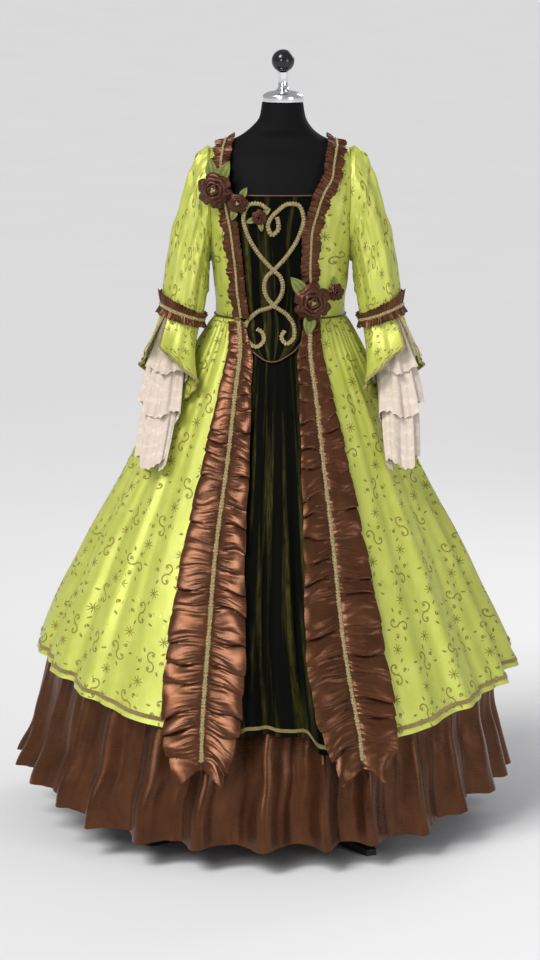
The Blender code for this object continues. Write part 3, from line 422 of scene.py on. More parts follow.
def angle_at(x, z):
    """Angle on the front of the green cloth of a point at x and z."""
    left = SHAPE.at("left", z)
    right = SHAPE.at("right", z)
    square = SHAPE.at("square", z)
    ratio = np.clip((x - (right - left) / 2) / ((left + right) / 2), -1.0, 1.0)
    return np.arcsin(np.sign(ratio) * np.abs(ratio) ** (square / 2))


def shape_normal(angle, z):
    """Outward unit normal of the green cloth at an angle and height."""
    turn = shape(angle + 0.004, z) - shape(angle - 0.004, z)
    rise = shape(angle, z + 0.0005) - shape(angle, z - 0.0005)
    return unit(np.cross(turn, rise))


def on_front(x, z, out=0.0):
    """Point on the front of the green cloth seen at x and z."""
    return shape(angle_at(x, z), z, out)


def normals_of(grid, ring, centre):
    """Unit normals of a grid of points, which face away from the centre."""
    if ring:
        across = np.roll(grid, -1, axis=1) - np.roll(grid, 1, axis=1)
    else:
        across = np.gradient(grid, axis=1)
    normals = unit(np.cross(across, np.gradient(grid, axis=0)))
    return -normals if np.sum(normals * (grid - centre)) < 0 else normals


def axis_of(grid):
    """The form's axis at each point's height."""
    return grid * np.array([0.0, 0.0, 1.0])


def edge_angle(row, side):
    """Angle and height of the bodice's edge at a row of its table, side -1 for left and 1 for right."""
    rows = np.arange(EDGE_LAST + 1)
    degrees = smooth(rows, EDGE.column("left" if side < 0 else "right"), row)
    return side * np.radians(degrees), smooth(rows, EDGE.column("z"), row)


def bodice_panel(side, back):
    """Angles and heights from the front edge, or centre back, to the side seam and armhole."""
    angles, heights = [], []
    for edge_row, side_degrees, side_z in FRONT_PANEL:
        end = math.radians(180.0 - side_degrees if back else side_degrees)
        depth = SHAPE.at("back" if back else "front", side_z)
        if not back:
            start, start_z = edge_angle(edge_row, side)
            start = abs(start) + SEAM / (2 * depth)
        elif edge_row > NECK_ROW:
            start, start_z = edge_angle(2 * SHOULDER_ROW - edge_row, side)
            start = abs(start) - SEAM / (2 * depth)
        else:
            start = math.pi - SEAM / depth
            start_z = side_z + BACK_RISE * (side_z - WAIST) / (FRONT_PANEL[7][2] - WAIST)
        turns = np.linspace(start, end, PANEL_POINTS)
        if back:
            turns = np.maximum(turns, math.pi / 2 + SEAM / depth)
        else:
            turns = np.minimum(turns, math.pi / 2 - SEAM / depth)
        angles.append(side * turns)
        heights.append(np.linspace(float(start_z), side_z, PANEL_POINTS))
    return np.array(angles), np.array(heights)


def stomacher_rows():
    """Height and both edge angles of each row, down to the rounded lobe under the waist."""
    rows = []
    for row in STOMACHER_ROWS:
        rows.append((edge_angle(row, 1)[1], edge_angle(row, -1)[0], edge_angle(row, 1)[0]))
    for z, left, right in LOBE:
        rows.append((z, angle_at(LOBE_CENTRE - left, z), angle_at(LOBE_CENTRE + right, z)))
    return rows


def overskirt_edges(z):
    """Angles of the overskirt's right and left front edge, the left one a full turn on."""
    right = angle_at(OPENING.at("right", z), z)
    left = angle_at(OPENING.at("left", z), z)
    return right, left + 2 * math.pi


def overskirt_point(u, v):
    """u from the right front edge round the back to the left one, v from the waist to the hem."""
    top = WAIST - SEAM
    right, left = overskirt_edges(top)
    angle = right + (left - right) * u
    for _ in range(3):
        z = top + (by_angle(OVERSKIRT_HEM, angle) - top) * v
        right, left = overskirt_edges(z)
        angle = right + (left - right) * u
    edge = np.minimum(u, 1 - u) / EDGE_FADE
    fade = 1 - np.exp(-edge ** 2)
    hollow = 0.5 + 0.5 * np.exp(-(0.64 * edge) ** 2)
    phase = 2 * math.pi * OVERSKIRT_FOLDS * u
    depth = OVERSKIRT_FOLD_DEPTH * v ** 0.8 * (0.75 + 0.25 * np.sin(7.0 * u + 0.6)) * fade
    sway = 0.35 / OVERSKIRT_FOLDS * np.sin(2 * math.pi * 5 * u + 0.8) * v * fade
    return shape(angle + sway, z, depth * (np.cos(phase) - hollow))


def velvet_point(u, v):
    """Front panel tucked under the overskirt: u from left -1 to right 1, v from the waist to the hem."""
    z = (WAIST - 0.004) + (VELVET_HEM - 0.012 * u - WAIST) * v
    left = OPENING.at("left", z) - VELVET_TUCK
    right = OPENING.at("right", z) + VELVET_TUCK
    angle = angle_at((left + right) / 2 + u * (right - left) / 2, z)
    fold = 0.5 * (1 + np.cos(3.84 * math.pi * (u + 0.12))) * np.clip(1.25 - 1.5 * np.abs(u), 0, 1)
    return shape(angle, z, -BROCADE - 2 * LAY - VELVET_FOLD_DEPTH * fold * np.clip(v - 0.07, 0, 1))


def underskirt_point(u, v):
    """u round the gown from the back, v from the waist over the seam at 1 to the flounce's hem at 2."""
    angle = u + 0.5 / FLOUNCE_FOLDS * (np.sin(5 * u + 1.0) + 0.6 * np.sin(11 * u))
    high = LINING_INSET.start + (FLOUNCE_TOP - LINING_INSET.start) * np.clip(v, 0, 1)
    low = FLOUNCE_TOP + (by_angle(FLOUNCE_HEM, angle) - FLOUNCE_TOP) * np.clip(v - 1, 0, 1)
    upper = shape(angle, high, -LINING_INSET.at("inset", high))
    uneven = 0.8 + 0.2 * np.sin(3 * u + 2.0) + 0.14 * np.sin(8 * u)
    fold = FLOUNCE.at("depth", low) * np.cos(FLOUNCE_FOLDS * u) * uneven
    sides = [FLOUNCE.at(name, low) + fold for name in FLOUNCE.names[1:5]]
    lower = np.stack([*oval(angle, *sides, 2.0), low], axis=-1)
    return np.where((v <= 1)[..., None], upper, lower)


def neck_ruffle_point(side, s, t):
    """Ruffle on the bodice's edge: s from inner -1 to outer 1, t from the waist to the centre back."""
    row = t * EDGE_LAST
    angle, z = edge_angle(row, side)
    along = unit(shape(*edge_angle(row + 0.05, side)) - shape(*edge_angle(row - 0.05, side)))
    tilt = shape(angle + 0.02, z) - shape(angle - 0.02, z)
    rise = shape(angle, z + 0.002) - shape(angle, z - 0.002)
    up = unit(np.cross(tilt, rise))
    across = side * np.cross(up, along)
    wave = np.cos(2 * math.pi * NECK_RUFFLE_WAVES * t + 0.8 * s)
    reach = NECK_RUFFLE_REACH * (1 + 0.08 * wave)
    lift = SATIN + LAY + 0.0010 + 0.0035 * np.abs(s) * (1 + wave)
    sink = 0.5 * (s * reach) ** 2 / 0.11
    return shape(angle, z) - across * (s * reach)[..., None] + up * (lift - sink)[..., None]


def armhole(side, turn):
    """Loop of the armhole: turn 0 at the shoulder, a quarter at the front, half under the arm."""
    rows = FRONT_PANEL[2:]
    low, high = rows[0][2], rows[-1][2]
    z = (low + high) / 2 + (high - low) / 2 * np.cos(turn)
    angle = np.interp(z, [row[2] for row in rows], [row[1] for row in rows])
    angle = np.where(turn > math.pi, 180.0 - angle, angle)
    return shape(side * np.radians(angle), z) + np.array([side * ARMHOLE_GAP, 0.0, 0.0])


def sleeve_point(side, turn, t, out=0.0):
    """Sleeve: turn round the arm from its outer line over the front, t from armhole 0 to elbow 1."""
    rows = np.linspace(0, 1, len(SLEEVE.rows))
    place = np.clip(t, 0.0, 1.0)
    value = {name: smooth(rows, SLEEVE.column(name), place) for name in SLEEVE.names}
    beyond = np.clip(t - 1.0, 0.0, None)
    mid_x = (value["outer_x"] + value["inner_x"]) / 2 + 0.05 * beyond
    mid_z = (value["outer_z"] + value["inner_z"]) / 2 - 0.30 * beyond
    half_x = (value["outer_x"] - value["inner_x"]) / 2
    half_z = (value["outer_z"] - value["inner_z"]) / 2
    grow = 1 + out / value["half"]
    pleat = 0.0022 * np.sin(7 * turn) * np.sin(math.pi * place) ** 0.7
    grow = grow + pleat / value["half"]
    x = mid_x + half_x * np.cos(turn) * grow
    z = mid_z + half_z * np.cos(turn) * grow
    y = value["y"] - 0.05 * beyond - value["half"] * np.sin(turn) * grow
    return np.stack([SLEEVE_CENTRE + side * x, y, z], axis=-1)


def ring_centres(grid):
    return np.broadcast_to(grid.mean(axis=1, keepdims=True), grid.shape)


def clear_of_skirt(points, gap, ease=0.020):
    """Points moved out from the skirt's axis until they lie a gap outside it, in the same order."""
    z = points[..., 2]
    left = SHAPE.at("left", z)
    right = SHAPE.at("right", z)
    half, centre = (left + right) / 2, (right - left) / 2
    depth = np.where(points[..., 1] < 0, SHAPE.at("front", z), SHAPE.at("back", z))
    flat = np.stack([points[..., 0] - centre, points[..., 1]], axis=-1)
    size = np.linalg.norm(flat, axis=-1)
    ratio = np.sqrt((flat[..., 0] / half) ** 2 + (flat[..., 1] / depth) ** 2)
    edge = size / ratio
    out = size - edge - gap
    moved = edge + gap + (out + np.sqrt(out ** 2 + ease ** 2)) / 2
    flat = flat * (moved / size)[..., None]
    return np.stack([flat[..., 0] + centre, flat[..., 1], z], axis=-1)


def calm(place, corner, reach):
    """Share of the folds kept near the corner where a fall bends round the skirt."""
    return 1 - 0.9 * np.exp(-(((place - corner) / reach) ** 2))


def sleeve_grid(side, turn, t, out=0.0):
    """Ring of the armhole, then the sleeve's rows, which stay a little outside it."""
    start = armhole(side, turn[:1])
    rows = sleeve_point(side, turn, t, out)
    rows[..., 0] = side * np.maximum(side * rows[..., 0], side * start[..., 0] + SLEEVE_HEAD)
    return np.concatenate([start, rows])


def wing_point(side, u, v):
    """Green flounce at the elbow: u from its front edge round the arm to the other, v down to its hem."""
    turn = np.radians(WING.start + (WING.end - WING.start) * u)
    drop = WING.at("drop", np.degrees(turn)) * v
    flare = WING.at("flare", np.degrees(turn)) * v
    fold = WING_FOLD_DEPTH * v * np.cos(2 * math.pi * WING_FOLDS * u) * calm(u, WING_CORNER, 0.10)
    top = sleeve_point(side, turn, np.full_like(v, WING_START), -WING_INSIDE)
    middle = sleeve_point(side, turn, np.full_like(v, WING_START), -0.040)
    away = unit((top - middle) * np.array([1.0, 1.0, 0.25]))
    hang = np.stack([side * 0.10 * drop, -0.50 * drop * v, -drop], axis=-1)
    return clear_of_skirt(top + away * (flare + fold)[..., None] + hang, WING_CLEAR)


def catmull(place, values, at):
    """Curve through the values that may swing past them between two points."""
    slope = np.gradient(values, place)
    k = np.clip(np.searchsorted(place, at, side="right") - 1, 0, len(place) - 2)
    run = place[k + 1] - place[k]
    t = (at - place[k]) / run
    ends = values[k] * (1 + 2 * t) * (1 - t) ** 2 + values[k + 1] * t * t * (3 - 2 * t)
    return ends + run * (slope[k] * t * (1 - t) ** 2 - slope[k + 1] * t * t * (1 - t))


# Looks of the cloth, trims and stand.
def feed(tree, socket, value):
    """Put a number, a colour or another node's output on a socket."""
    value = value.out if isinstance(value, Num) else value
    if isinstance(value, bpy.types.NodeSocket):
        tree.links.new(value, socket)
    else:
        socket.default_value = (*value, 1.0) if isinstance(value, tuple) else value


def using(operation):
    """Method that applies one operation of arithmetic."""
    return lambda number, *others: number.make(operation, *others)


class Num:
    """Number in a node tree that takes ordinary arithmetic."""

    def __init__(self, tree, out):
        self.tree, self.out = tree, out

    def make(self, operation, *others, clamp=False):
        node = self.tree.nodes.new("ShaderNodeMath")
        node.operation = operation
        node.use_clamp = clamp
        for socket, value in zip(node.inputs, (self, *others)):
            feed(self.tree, socket, value)
        return Num(self.tree, node.outputs[0])

    __add__ = using("ADD")
    __sub__ = using("SUBTRACT")
    __mul__ = using("MULTIPLY")
    __truediv__ = using("DIVIDE")
    abs = using("ABSOLUTE")
    sin = using("SINE")
    cos = using("COSINE")
    power = using("POWER")
    most = using("MAXIMUM")
    fract = using("FRACT")
    floor = using("FLOOR")

    def __neg__(self):
        return self * -1.0

    def held(self):
        """The number kept between 0 and 1."""
        return self.make("ADD", 0.0, clamp=True)

    def below(self, limit, soft):
        """1 where the number is below a limit, 0 above it, over a soft edge."""
        return ((self - limit) / -soft + 0.5).held()


def length(x, y):
    return (x * x + y * y).make("SQRT")


def angle_of(x, y):
    return y.make("ARCTAN2", x)


class Look:
    """Principled material under construction."""

    def __init__(self, name):
        self.material = bpy.data.materials.new(name)
        self.material.use_nodes = True
        self.tree = self.material.node_tree
        self.shader = self.tree.nodes["Principled BSDF"]

    def node(self, kind, out, inputs, **settings):
        """One output of a new node with these inputs and settings."""
        node = self.tree.nodes.new("ShaderNode" + kind)
        for name, value in settings.items():
            setattr(node, name, value)
        for name, value in inputs.items():
            feed(self.tree, node.inputs[name], value)
        return node.outputs[out]

    def uv(self):
        self.place = self.node("UVMap", 0, {}, uv_map="cloth")
        return tuple(Num(self.tree, self.node("SeparateXYZ", k, {0: self.place})) for k in (0, 1))

    def vector(self, x, y, z=0.0):
        return self.node("CombineXYZ", 0, {0: x, 1: y, 2: z})

    def noise(self, place, scale, detail=2.0, rough=0.5):
        inputs = {"Scale": scale, "Detail": detail, "Roughness": rough, "Vector": place}
        return Num(self.tree, self.node("TexNoise", "Fac", inputs))

    def cells(self, place, scale, feature="F1", jitter=1.0):
        inputs = {"Scale": scale, "Randomness": jitter, "Vector": place}
        return Num(self.tree, self.node("TexVoronoi", "Distance", inputs, feature=feature))

    def mix(self, share, first, second):
        return self.node("Mix", 2, {0: share, 6: first, 7: second}, data_type="RGBA")

    def bump(self, height, distance, strength=1.0, under=None):
        inputs = {"Distance": distance, "Strength": strength, "Height": height}
        if under is not None:
            inputs["Normal"] = under
        return self.node("Bump", 0, inputs)

    def done(self, colour, links, **values):
        """Link the shader's inputs, set the plain ones and give the material."""
        for name, value in {"Base Color": colour, **links}.items():
            feed(self.tree, self.shader.inputs[name], value)
        for name, value in values.items():
            self.shader.inputs[name.replace("_", " ")].default_value = value
        return self.material


def cell(place, size, shift=0.0):
    """Distance from the middle of a repeat of some size."""
    return ((place / size + shift).fract() - 0.5) * size


def weave(u, v, thread):
    """Height of a plain weave of threads of a width."""
    return (u * (math.pi / thread)).sin().abs() * 0.5 + (v * (math.pi / thread)).sin().abs() * 0.5


def spiral(x, y, start, end, grow, width, phase=0.0):
    """Line of a spiral curl between two radii."""
    radius = length(x, y) + 1e-5
    turn = radius.make("LOGARITHM", math.e) * (1.0 / grow) - angle_of(x, y) + phase
    spacing = 2 * math.pi * grow / math.sqrt(1 + grow * grow)
    near = ((turn / (2 * math.pi)).fract() - 0.5).abs() * radius * spacing
    return near.below(width, width * 0.8) * radius.below(end, 0.001) * (-radius).below(-start, 0.001)


def motif(x, y):
    """One S scroll with a dot in each curl, a C curl at each side and small leaves, round its centre."""
    flip = (y.make("GREATER_THAN", 0.0) - 0.5) * 2.0
    x, y = x * flip, y * flip
    line = spiral(x, y - 0.0120, 0.0034, 0.0128, 0.24, 0.0013, 1.149)
    line = line.most(length(x - 0.0010, y - 0.0125).below(0.0022, 0.0006))
    line = line.most(spiral(x - 0.0215, y - 0.0040, 0.0012, 0.0075, 0.22, 0.0011))
    line = line.most(length(x - 0.0215, y - 0.0040).below(0.0018, 0.0006))
    for px, py, turn in ((0.0190, 0.0210, 0.7), (-0.0170, 0.0170, 2.1)):
        along = (x - px) * math.cos(turn) + (y - py) * math.sin(turn)
        across = (y - py) * math.cos(turn) - (x - px) * math.sin(turn)
        line = line.most(length(along * 0.42, across).below(0.0018, 0.0006))
    return line


def star(x, y, radius):
    """Star of eight fine rays."""
    ray = (angle_of(x, y) * 4.0).cos().abs().power(4.0) * 0.75 + 0.25
    return (length(x, y) / ray).below(radius, 0.0012)


def make_brocade():
    """Green cloth with scrolls and stars in brown and gold thread, and a few sequins."""
    look = Look("brocade")
    u, v = look.uv()
    row = (v / MOTIF_ROW).floor()
    column = (u / MOTIF_COLUMN + row * 0.5).floor()
    x, y = cell(u, MOTIF_COLUMN, row * 0.5), cell(v, MOTIF_ROW)
    turn = (column * 2.4 + row * 1.7).sin() * 0.55 + 0.4
    side = (((column + row) * 0.5).fract().make("GREATER_THAN", 0.25) - 0.5) * 2.0
    mx = (x * turn.cos() + y * turn.sin()) * side
    my = y * turn.cos() - x * turn.sin()
    line = motif(mx * (1 / MOTIF_SIZE), my * (1 / MOTIF_SIZE))
    star_row = (v / MOTIF_ROW + 0.5).floor()
    line = line.most(star(cell(u, MOTIF_COLUMN, star_row * 0.5 + 0.25), cell(v, MOTIF_ROW, 0.5), STAR_RADIUS))
    line = line * ((look.noise(look.place, 260.0, 2.0) - 0.5) * 1.2 + 0.9).held()
    damask = look.noise(look.vector(u, v * 0.4), 60.0, 2.0)
    ground = look.mix(look.noise(look.place, 14.0, 1.0), (0.42, 0.46, 0.060), (0.56, 0.60, 0.110))
    ground = look.mix((damask - 0.45) * 0.9, ground, (0.66, 0.68, 0.21))
    thread = look.mix(look.noise(look.place, 55.0, 2.0), (0.10, 0.070, 0.007), (0.23, 0.165, 0.022))
    patch = look.noise(look.place, 9.0).make("GREATER_THAN", 0.56)
    sequin = look.cells(look.place, 75.0).below(0.095, 0.02) * patch
    colour = look.mix(sequin, look.mix(line * 0.92, ground, thread), (0.85, 0.72, 0.30))
    raised = look.bump(line * 0.5 + damask * 0.2, 0.00035)
    links = {
        "Roughness": line * 0.20 + damask * 0.14 - sequin * 0.20 + 0.32,
        "Metallic": sequin * 0.6 + 0.25,
        "Normal": look.bump(weave(u, v, 0.00035), 0.00006, 1.0, raised),
    }
    return look.done(colour, links, Sheen_Weight=0.12, Sheen_Roughness=0.4, Specular_IOR_Level=0.5)


def make_satin(name, dark, light, roughness, metallic):
    """Glossy cloth with soft creases and slubs along its threads."""
    look = Look(name)
    u, v = look.uv()
    share = look.noise(look.vector(u, v * 0.5), 22.0, 3.0, 0.6)
    slub = look.noise(look.vector(u * 0.12, v), 420.0, 1.0)
    crease = look.bump(look.noise(look.vector(u, v * 0.45), 60.0, 1.0), 0.0008, 0.6)
    links = {
        "Roughness": share * 0.12 + slub * 0.06 + (roughness - 0.08),
        "Normal": look.bump(weave(u, v, 0.00028), 0.00003, 1.0, crease),
    }
    colour = look.mix((share - 0.3) * 1.6, dark, light)
    return look.done(colour, links, Metallic=metallic, Sheen_Weight=0.05, Specular_IOR_Level=0.5)


def make_velvet():
    """Dark green pile crushed into upright streaks, which carry an olive painted highlight."""
    look = Look("crushed_velvet")
    u, v = look.uv()
    crush = look.noise(look.vector(u, v * 0.035), 52.0, 2.0, 0.5)
    fine = look.noise(look.vector(u, v * 0.09), 260.0, 3.0, 0.65)
    crush_and_painted_highlight = ((crush - 0.52) * 5.0).held() * ((fine - 0.30) * 1.7).held()
    crushed = look.bump(crush + fine * 0.4, 0.0020, 0.7)
    links = {
        "Roughness": crush_and_painted_highlight * -0.25 + 0.80,
        "Normal": look.bump(look.noise(look.place, 1900.0, 2.0), 0.0003, 0.7, crushed),
    }
    # Olive colour of the streaks: the pile's crush pattern with a painted highlight on it.
    colour = look.mix(crush_and_painted_highlight, (0.0012, 0.0014, 0.0005), (0.120, 0.108, 0.018))
    return look.done(colour, links, Sheen_Weight=0.06, Sheen_Roughness=0.35,
                     Sheen_Tint=(0.45, 0.48, 0.20, 1.0), Specular_IOR_Level=0.07)


def make_lace_look():
    """Cream net with rows of five-petalled flowers and small leaves, speckled with painted shade."""
    look = Look("lace")
    u, v = look.uv()
    net = look.cells(look.place, 420.0, "DISTANCE_TO_EDGE", 0.25).below(0.20, 0.08)
    u = u + (look.noise(look.place, 21.0) - 0.5) * 0.045
    v = v + (look.noise(look.place, 26.0) - 0.5) * 0.045
    shift = (v / FLOWER_ROW).floor() * 0.5
    x, y = cell(u, FLOWER_COLUMN, shift), cell(v, FLOWER_ROW)
    turn, reach = angle_of(x, y), length(x, y)
    petals = (reach / ((turn * 2.5).cos().abs() * 0.40 + 0.60)).below(0.0100, 0.0014)
    vein = ((turn * 2.5).sin().abs() * reach).below(0.0006, 0.0005) * (-reach).below(-0.0025, 0.0004)
    between = cell(u, FLOWER_COLUMN, shift + 0.5)
    leaf = length(between * 0.45, y).below(0.0030, 0.0012)
    leaf = leaf.most(length(between, y * 0.5 + 0.001).below(0.0020, 0.0010))
    solid = (petals * (vein * -0.6 + 1.0)).most(leaf)
    stitch_and_painted_shade = look.noise(look.place, 500.0, 3.0)
    # The darker colour is the lace's cream in shade: painted shade, speckled in by the stitch noise.
    colour = look.mix(solid * 0.12 + stitch_and_painted_shade * 0.75, (0.50, 0.40, 0.32), (0.84, 0.75, 0.65))
    links = {"Alpha": net.most(solid).most(0.86), "Normal": look.bump(solid * 0.7 + stitch_and_painted_shade * 0.6, 0.0007)}
    return look.done(colour, links, Roughness=0.85, Sheen_Weight=0.25)


def make_gold(name, dark, light, metallic=0.45):
    """Plaited gold thread."""
    look = Look(name)
    u, v = look.uv()
    plait = 2 * math.pi / 0.0034
    twist = ((u + v * 0.7) * plait).sin() * ((u - v * 0.7) * plait).sin()
    speckle = look.noise(look.place, 420.0, 2.0)
    share = (twist * 0.35 + speckle * 1.6 - 0.30).held()
    links = {"Roughness": share * -0.15 + 0.46, "Normal": look.bump(twist + speckle, 0.0007)}
    return look.done(look.mix(share, dark, light), links, Metallic=metallic, Sheen_Weight=0.1)


def make_jersey():
    """Black knit of the form."""
    look = Look("form_jersey")
    u, v = look.uv()
    fine = look.noise(look.place, 900.0, 2.0)
    colour = look.mix(look.noise(look.place, 7.0, 2.0), (0.0025, 0.0025, 0.003), (0.0045, 0.0045, 0.005))
    knit = look.bump(weave(u, v, 0.0006), 0.00008, 1.0, look.bump(fine, 0.0002))
    return look.done(colour, {"Roughness": fine * 0.15 + 0.66, "Normal": knit}, Specular_IOR_Level=0.12)


def make_hard(name, colour, roughness, metallic, brush):
    """Painted, plastic or metal surface with a faint brushed or moulded grain."""
    look = Look(name)
    place = look.node("TexCoord", "Object", {})
    grain, large = look.noise(place, brush, 3.0), look.noise(place, 12.0, 2.0)
    darker, lighter = tuple(c * 0.85 for c in colour), tuple(min(1.0, c * 1.1) for c in colour)
    links = {
        "Roughness": grain * 0.10 + large * 0.06 + roughness - 0.08,
        "Normal": look.bump(grain, 0.00004, 0.6),
    }
    return look.done(look.mix(large, darker, lighter), links, Metallic=metallic)


def make_leaf_look():
    """Ribbed green satin."""
    look = Look("leaf_satin")
    vein = (look.uv()[0] * 900.0).sin() * 0.5 + 0.5
    share = look.noise(look.place, 60.0) * 0.6 + vein * 0.3
    links = {"Roughness": look.noise(look.place, 200.0) * 0.2 + 0.3, "Normal": look.bump(vein, 0.0004)}
    return look.done(look.mix(share, (0.040, 0.052, 0.006), (0.26, 0.30, 0.040)), links, Sheen_Weight=0.2)


# Builders of thin walls, cords and turned parts.
def running(points, axis):
    """Length along the grid in one direction, averaged over the other."""
    steps = np.linalg.norm(np.diff(points, axis=axis), axis=2)
    return np.concatenate([[0.0], np.cumsum(steps.mean(axis=1 - axis))])


def cloth_uv(grid, ring):
    """Length across and down the cloth at the left and right of each column of quads."""
    closed = np.concatenate([grid, grid[:, :1]], axis=1) if ring else grid
    u, v = np.meshgrid(running(closed, 1), -running(closed, 0))
    place = np.stack([u, v], axis=-1)
    return place[:, :-1], place[:, 1:]


def add_piece(name, points, faces, uvs, look, nodes):
    """Smooth mesh piece in the part's frame, with one UV for each corner of each face."""
    corner = points[faces]
    fan = np.einsum("ij,ij->i", corner[:, 0], np.cross(corner[:, 1], corner[:, 2]))
    fan = fan + np.einsum("ij,ij->i", corner[:, 0], np.cross(corner[:, 2], corner[:, 3]))
    if fan.sum() < 0:
        faces, uvs = faces[:, ::-1], uvs[:, ::-1]
    mesh = bpy.data.meshes.new(name)
    mesh.from_pydata((points + AXIS).tolist(), [], faces.tolist())
    layer = mesh.uv_layers.new(name="cloth")
    layer.data.foreach_set("uv", uvs.reshape(-1).astype(np.float32))
    mesh.shade_smooth()
    mesh.set_sharp_from_angle(angle=math.radians(62.0))
    mesh.materials.append(look)
    thing = bpy.data.objects.new(name, mesh)
    bpy.context.scene.collection.objects.link(thing)
    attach(thing, "root")
    if nodes:
        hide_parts(*nodes)
    return thing


def quads(rows, cols, spans):
    """Point numbers of a grid's quads; as many spans as columns close it to a ring."""
    i, j = np.meshgrid(np.arange(rows - 1) * cols, np.arange(spans), indexing="ij")
    k = (j + 1) % cols
    return np.stack([i + j, i + k, i + cols + k, i + cols + j], axis=-1).reshape(-1, 4)


def quad_uv(left, right):
    """UV of the same quads."""
    return np.stack([left[:-1], right[:-1], right[1:], left[1:]], axis=2).reshape(-1, 4, 2)


def turned(name, grid, look, nodes=()):
    """Closed surface through rings of points that start and end near the axis."""
    rows, cols = grid.shape[:2]
    uvs = quad_uv(*cloth_uv(grid, True))
    return add_piece(name, grid.reshape(-1, 3), quads(rows, cols, cols), uvs, look, nodes)


def shell(name, grid, thick, look, nodes=(), ring=False, centre=None, normals=None, uv=None):
    """Thin closed wall of cloth whose outside is a grid of points."""
    rows, cols = grid.shape[:2]
    if normals is None:
        normals = normals_of(grid, ring, axis_of(grid) if centre is None else centre)
    points = np.concatenate([grid.reshape(-1, 3), (grid - thick * normals).reshape(-1, 3)])
    left, right = cloth_uv(grid, ring) if uv is None else uv
    count = rows * cols
    spans = cols if ring else cols - 1
    outer, spots = quads(rows, cols, spans), quad_uv(left, right)
    faces = [outer, outer[:, [0, 3, 2, 1]] + count]
    uvs = [spots, spots[:, [0, 3, 2, 1]]]
    j = np.arange(spans)
    k = (j + 1) % cols
    last = (rows - 1) * cols
    rims = [(k, j, right[0], left[0]), (last + j, last + k, left[-1], right[-1])]
    if not ring:
        a = np.arange(rows - 1) * cols
        b = a + cols
        rims.append((a, b, left[:-1, 0], left[1:, 0]))
        rims.append((b + cols - 1, a + cols - 1, right[1:, -1], right[:-1, -1]))
    for a, b, uv_a, uv_b in rims:
        faces.append(np.stack([a, b, count + b, count + a], axis=-1))
        uvs.append(np.stack([uv_a, uv_b, uv_b, uv_a], axis=1))
    return add_piece(name, points, np.concatenate(faces), np.concatenate(uvs), look, nodes)


def tube(name, path, up, width, height, look, nodes=(), sides=8, closed=False):
    """Rounded band along a path; up is the direction away from what it lies on."""
    along = np.roll(path, -1, axis=0) - np.roll(path, 1, axis=0) if closed else np.gradient(path, axis=0)
    along = unit(along)
    across = unit(np.cross(along, up))
    up = np.cross(across, along)
    turns = full_turn(sides)
    width = np.broadcast_to(width, len(path))[:, None, None]
    height = np.broadcast_to(height, len(path))[:, None, None]
    ring = (path[:, None] + across[:, None] * np.cos(turns)[None, :, None] * width / 2
            + up[:, None] * (0.5 + 0.5 * np.sin(turns))[None, :, None] * height)
    if not closed:
        ends = [np.broadcast_to(ring[k].mean(axis=0), ring[k].shape) * 0.98 + ring[k] * 0.02 for k in (0, -1)]
        ring = np.concatenate([[ends[0]], ring, [ends[1]]])
    grid = np.swapaxes(ring, 0, 1)
    rows, cols = grid.shape[:2]
    spans = cols if closed else cols - 1
    i, j = np.meshgrid(np.arange(rows), np.arange(spans), indexing="ij")
    n, k = (i + 1) % rows, (j + 1) % cols
    faces = np.stack([i * cols + j, i * cols + k, n * cols + k, n * cols + j], axis=-1).reshape(-1, 4)
    run = np.concatenate([[0.0], np.cumsum(np.linalg.norm(np.diff(grid.mean(axis=0), axis=0), axis=1))])
    run = np.append(run, run[-1] + 0.001)
    girth = float(np.mean(width)) * 2.2 / rows
    spots = [(j, i), (j + 1, i), (j + 1, i + 1), (j, i + 1)]
    uvs = np.stack([np.stack([run[a], b * girth], -1) for a, b in spots], axis=2)
    return add_piece(name, grid.reshape(-1, 3), faces, uvs.reshape(-1, 4, 2), look, nodes)


def lathe(name, profile, sides, look, nodes=()):
    """Smooth solid of revolution on the form's axis, from a profile that starts and ends on it."""
    radius = np.array([max(r, 2e-5) for r, z in profile])[:, None]
    height = np.array([z for r, z in profile])[:, None]
    turns = full_turn(sides)[None]
    grid = np.stack([radius * np.cos(turns), radius * np.sin(turns), height + 0.0 * turns], axis=-1)
    turned(name, grid, look, nodes)


def ripple(*waves):
    """Sum of sine waves, each an amplitude and a phase array."""
    return sum(amount * np.sin(phase) for amount, phase in waves)


def dense(values, times):
    """Values with each gap split into a number of equal steps."""
    values = np.asarray(values, float)
    steps = np.linspace(0, 1, times, endpoint=False)
    return np.append((values[:-1, None] + np.diff(values)[:, None] * steps).reshape(-1), values[-1])


def zigzag(count, share):
    """Braid's width along its length, wider and narrower by a share."""
    return 1 + share * np.sin(math.pi / 2 * np.arange(count))


def hem_band(name, point, us, vs, look):
    """Flat braid sewn on a hem, from a function that gives the cloth's points."""
    grid = point(*np.meshgrid(us, vs))
    shell(name, grid + 0.0016 * normals_of(grid, False, axis_of(grid)), 0.0014, look)


# Pieces of the gown, the form and the stand.
def gore_uv(grid, gores):
    """UV of a flared skirt laid flat gore by gore, at the left and right of each column of quads."""
    turn = np.unwrap(np.arctan2(grid[..., 0], -grid[..., 1]), axis=1).mean(axis=0)
    slant = 0.31 + running(grid, 0)
    step = 2 * math.pi / gores
    middle = (np.floor((turn[:-1] + turn[1:]) / 2 / step) + 0.5) * step
    sides = []
    for edge in (turn[:-1], turn[1:]):
        lean = FLARE * (edge - middle)
        across = slant[:, None] * np.sin(lean)[None] + (middle * 1.37)[None]
        sides.append(np.stack([across, -slant[:, None] * np.cos(lean)[None]], axis=-1))
    return sides


